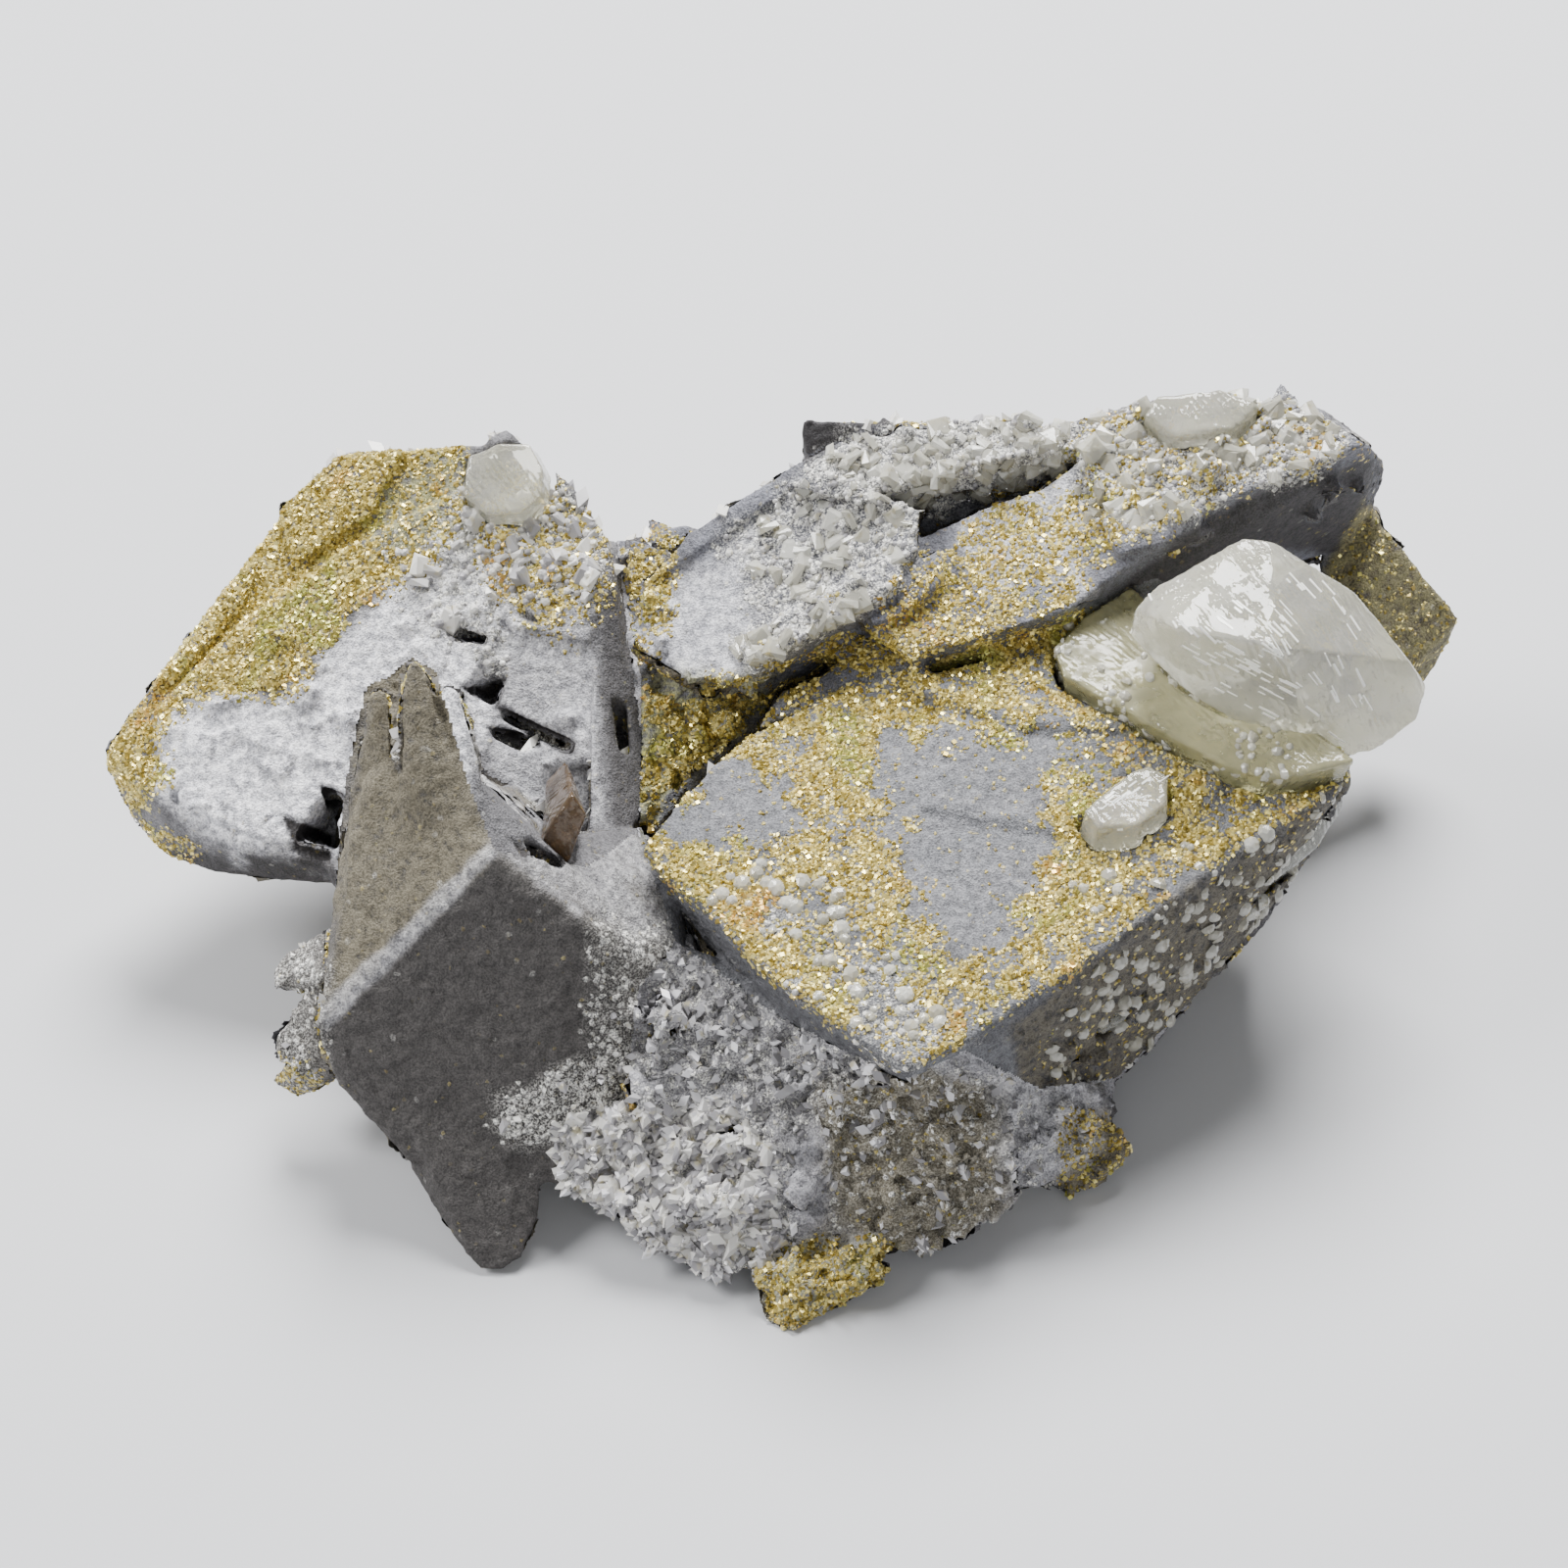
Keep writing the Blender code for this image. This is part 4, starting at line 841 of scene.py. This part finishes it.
def calcite_finish(name, pale, dim, clear, rough):
    """Calcite of small crystals, each with its own shade."""
    made, tree, shader = new_finish(name)
    tint = node(tree, "ShaderNodeAttribute", {"attribute_name": "tint"}).outputs["Fac"]
    place = node(tree, "ShaderNodeTexCoord").outputs["Object"]
    cloud = node(tree, "ShaderNodeTexNoise", None, Vector=place, Scale=1500.0, Detail=3.0).outputs["Fac"]
    tone = blend(tree, ramp(tree, tint, 0.1, 0.9), pale, dim)
    tone = blend(tree, ramp(tree, cloud, 0.55, 0.75), tone, colour(196, 188, 158))
    tree.links.new(tone, shader.inputs["Base Color"])
    shader.inputs["Roughness"].default_value = rough
    shader.inputs["Transmission Weight"].default_value = clear
    shader.inputs["IOR"].default_value = 1.55
    return made


chalk = calcite_finish("white calcite", colour(248, 246, 240), colour(166, 164, 168), 0.25, 0.3)
grey_calcite = calcite_finish("grey calcite", colour(232, 231, 234), colour(136, 134, 137), 0.1, 0.4)
clear_grains = calcite_finish("clear calcite grains", colour(250, 249, 240), colour(214, 211, 196), 0.55, 0.1)

for name, piece, field, grain_shape, finish, per_mm2, least, small, large, seed in (
        ("white_grains_left", left_piece, "white", dome, chalk, 3.2, 0.2, 0.25, 0.7, 21),
        ("white_plates_left", left_piece, "white", plate, chalk, 1.1, 0.35, 0.5, 1.3, 31),
        ("clear_domes_right", right_piece, "beads", lens, clear_grains, 2.4, 0.05, 0.3, 1.3, 22),
        ("white_grains_right", right_piece, "white", dome, chalk, 3.0, 0.1, 0.2, 0.6, 32),
        ("white_grains_ridge", ridge_piece, "white", dome, chalk, 3.6, 0.2, 0.2, 0.55, 23),
        ("white_plates_ridge", ridge_piece, "white", plate, clear_grains, 1.6, 0.3, 0.5, 1.4, 33),
        ("small_crystals_matrix", matrix_piece, "white", spear, chalk, 3.4, 0.4, 0.3, 1.0, 24),
        ("platy_crystals_matrix", matrix_piece, "white", plate, chalk, 2.0, 0.5, 0.4, 1.2, 34),
        ("grey_crystals_matrix", matrix_piece, "white", spear, grey_calcite, 4.4, 0.05, 0.25, 0.8, 44),
        ("small_crystals_front", front_piece, "white", spear, chalk, 1.6, 0.2, 0.2, 0.7, 25),
        ("small_crystals_back_left", back_pieces[0], "white", spear, chalk, 1.2, 0.2, 0.4, 1.2, 26),
        ("small_crystals_back_right", back_pieces[1], "white", spear, chalk, 1.2, 0.2, 0.4, 1.2, 27)):
    grow(name, piece, "dark_calcite", field=field, per_square_metre=per_mm2 * 1e6, least_field=least, lean=0.9,
         smallest=small / 1000, largest=large / 1000, sunk=0.1, shape=grain_shape, finish=finish, seed=seed)
for shape in (spear, plate, dome):
    bpy.data.objects.remove(shape)


# The clear crystals.
# The last calcite to grow is clear, pale yellow and full of cleavage cracks, whose white shine is a painted reflection.
# Each crystal stands in the hollow that it grew in.

CLEAR_GRID_MM = 0.2


def clear_finish(name, tone, amount, rough, cloud_size, milk, stripe=(1, 1, 0)):
    """See-through calcite with cloudy veils and growth lines in the surface."""
    made, tree, shader = new_finish(name)
    place = node(tree, "ShaderNodeTexCoord").outputs["Object"]
    cloud = node(tree, "ShaderNodeTexNoise", None, Vector=place, Scale=1000 / cloud_size, Detail=5.0,
                 Roughness=0.6).outputs["Fac"]
    body = blend(tree, ramp(tree, cloud, 0.4, 0.62), tone, milk)
    tree.links.new(body, shader.inputs["Base Color"])
    turned = node(tree, "ShaderNodeVectorMath", {"operation": "DOT_PRODUCT"}, Vector=place)
    turned.inputs[1].default_value = Vector(stripe).normalized() * 1000
    wavy = number(tree, "ADD", turned.outputs["Value"], number(tree, "MULTIPLY", cloud, 0.8))
    lines = number(tree, "PINGPONG", wavy, 0.19)
    broken = ramp(tree, node(tree, "ShaderNodeTexNoise", None, Vector=place, Scale=700.0).outputs["Fac"], 0.45, 0.6)
    tree.links.new(number(tree, "MULTIPLY", ramp(tree, cloud, 0.45, 0.65), rough * 2), shader.inputs["Roughness"])
    fine = node(tree, "ShaderNodeTexNoise", None, Vector=place, Scale=2200.0, Detail=3.0).outputs["Fac"]
    height = number(tree, "ADD", number(tree, "MULTIPLY", fine, 0.1), number(tree, "MULTIPLY", lines, broken))
    bump = node(tree, "ShaderNodeBump", None, Height=height, Distance=0.0004, Strength=0.7)
    tree.links.new(bump.outputs["Normal"], shader.inputs["Normal"])
    shader.inputs["Transmission Weight"].default_value = amount
    shader.inputs["IOR"].default_value = 1.5
    return made


def clear_piece(cad_node, name, finish, stripe, steps):
    """A clear crystal made from its CAD node, with growth steps across it."""
    raw = copy_of(cad_node, name)
    mesh = remeshed(raw, CLEAR_GRID_MM)
    bpy.data.objects.remove(raw)
    points, normals, faces = read(mesh)
    across = Vector(stripe).normalized()
    along = points @ np.array(across)
    lines = np.floor(waves(np.stack([along, along * 0, along * 0], axis=1), 0.7, 3) * 4) / 4
    points += normals * ((lines - 0.5) * steps + rubble(points, 1.6, 3, 61) * 0.05)[:, None]
    mesh.vertices.foreach_set("co", (points / 1000).ravel())
    mesh.update()
    mesh.polygons.foreach_set("use_smooth", np.ones(len(mesh.polygons), bool))
    mesh.materials.clear()
    mesh.materials.append(finish)
    mesh.name = name
    piece = link(bpy.data.objects.new(name, mesh))
    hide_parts(cad_node)
    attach(piece, "root")
    return piece


FLASH_WIDTH = (0.07, 0.17)
FLASH_THICK = 0.05
FLASH_FACING = np.array((0.0, -0.5, 0.87))


def cleavage_flashes(piece, name, run, longest, count, spot, spread, finish, seed):
    """Thin, parallel cleavage cracks in the skin of a clear crystal, white as a painted reflection of the light they
    catch round a spot.
    """
    points, normals, faces = read(piece.data)
    chance = np.random.default_rng(seed)
    middles, tilts = points[faces].mean(axis=1), normals[faces].mean(axis=1)
    px, py, _ = picture(middles)
    fit = np.exp(-((px - spot[0]) ** 2 + (py - spot[1]) ** 2) / spread**2) * (tilts @ FLASH_FACING > 0.3)
    fit *= smooth(waves(middles, 1.6, seed), 0.4, 0.6)
    run = Vector(run).normalized()
    bm = bmesh.new()
    for index in chance.choice(len(fit), count, p=fit / fit.sum()):
        middle, up = Vector(middles[index]), Vector(tilts[index]).normalized()
        along = (run - up * run.dot(up)).normalized() * chance.uniform(0.2, 1) * longest / 2
        side = along.cross(up).normalized() * chance.uniform(*FLASH_WIDTH) / 2
        ends = [[bm.verts.new((middle + along * end + side * a + up * FLASH_THICK * (b - 0.3)) / 1000)
                 for a, b in ((-1, 0), (1, 0), (0.8, 1), (-0.8, 1))] for end in (-1, 1)]
        bm.faces.new(ends[0][::-1])
        bm.faces.new(ends[1])
        for k in range(4):
            bm.faces.new((ends[0][k], ends[0][(k + 1) % 4], ends[1][(k + 1) % 4], ends[1][k]))
    bmesh.ops.recalc_face_normals(bm, faces=bm.faces)
    flashes = link(bpy.data.objects.new(name, bpy.data.meshes.new(name)))
    bm.to_mesh(flashes.data)
    bm.free()
    flashes.data.materials.append(finish)
    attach(flashes, "root")


pale_clear = clear_finish("clear pale calcite", colour(255, 253, 234), 0.78, 0.06, 3.0, colour(255, 253, 242),
                          (0.8, 0.45, 0.3))
grey_clear = clear_finish("clear grey calcite", colour(196, 196, 186), 0.8, 0.10, 3.0, colour(224, 224, 214), (1, 1, 0.2))
large = clear_piece("clear_crystal_large", "large_clear_crystal", pale_clear, (0.8, 0.45, 0.3), 0.10)
clear_piece("clear_crystal_edge", "edge_clear_crystal", grey_clear, (1, 1, 0.2), 0.06)
small = clear_piece("clear_crystal_small", "small_clear_crystal", pale_clear, (1, 1, 0), 0.08)
clear_piece("clear_crystal_knob", "knob_clear_crystal", pale_clear, (1, 0, 1), 0.06)
clear_piece("clear_crystal_crest", "crest_clear_crystal", pale_clear, (1, 0.3, 1), 0.06)
clear_piece("clear_crystal_flank", "flank_clear_crystal", grey_clear, (1, 1, 1), 0.04)
green_clear = clear_finish("yellow-green clear calcite", colour(212, 208, 168), 0.6, 0.3, 2.0, colour(188, 184, 144))
foot = clear_piece("clear_crystal_foot", "green_clear_foot", green_clear, (1, 0.2, 0), 0.06)
smoky = clear_finish("smoky calcite", colour(120, 98, 74), 0.5, 0.12, 2.0, colour(96, 80, 64))
clear_piece("smoky_crystal", "smoky_brown_crystal", smoky, (1, 0.2, 0), 0.03)

FOOT_GRAINS = 0.6
clouds = FOOT_GRAINS * smooth(waves(read(foot.data)[0], 3.0, 51), 0.35, 0.6)
foot.data.attributes.new("white", "FLOAT", "POINT").data.foreach_set("value", clouds.astype(np.float32))
grow("clear_grains_foot", foot, "clear_calcite", field="white", per_square_metre=4.0e6, least_field=0.05, lean=0.9,
     smallest=0.0003, largest=0.0009, sunk=0.1, shape=lens, finish=clear_grains, seed=51)
bpy.data.objects.remove(lens)

# Painted reflection: the cracks are plain white and lie on faces turned up and to the front.
flash, tree, shader = new_finish("cleavage flash")
shader.inputs["Base Color"].default_value = colour(255, 255, 250)
shader.inputs["Roughness"].default_value = 0.15
cleavage_flashes(large, "cleavage_flashes_large", (0.62, -0.62, -0.45), 1.5, 110, (1275, 660), 70, flash, 81)
cleavage_flashes(small, "cleavage_flashes_small", (0.75, 0.6, 0.1), 0.9, 16, (1150, 815), 22, flash, 82)
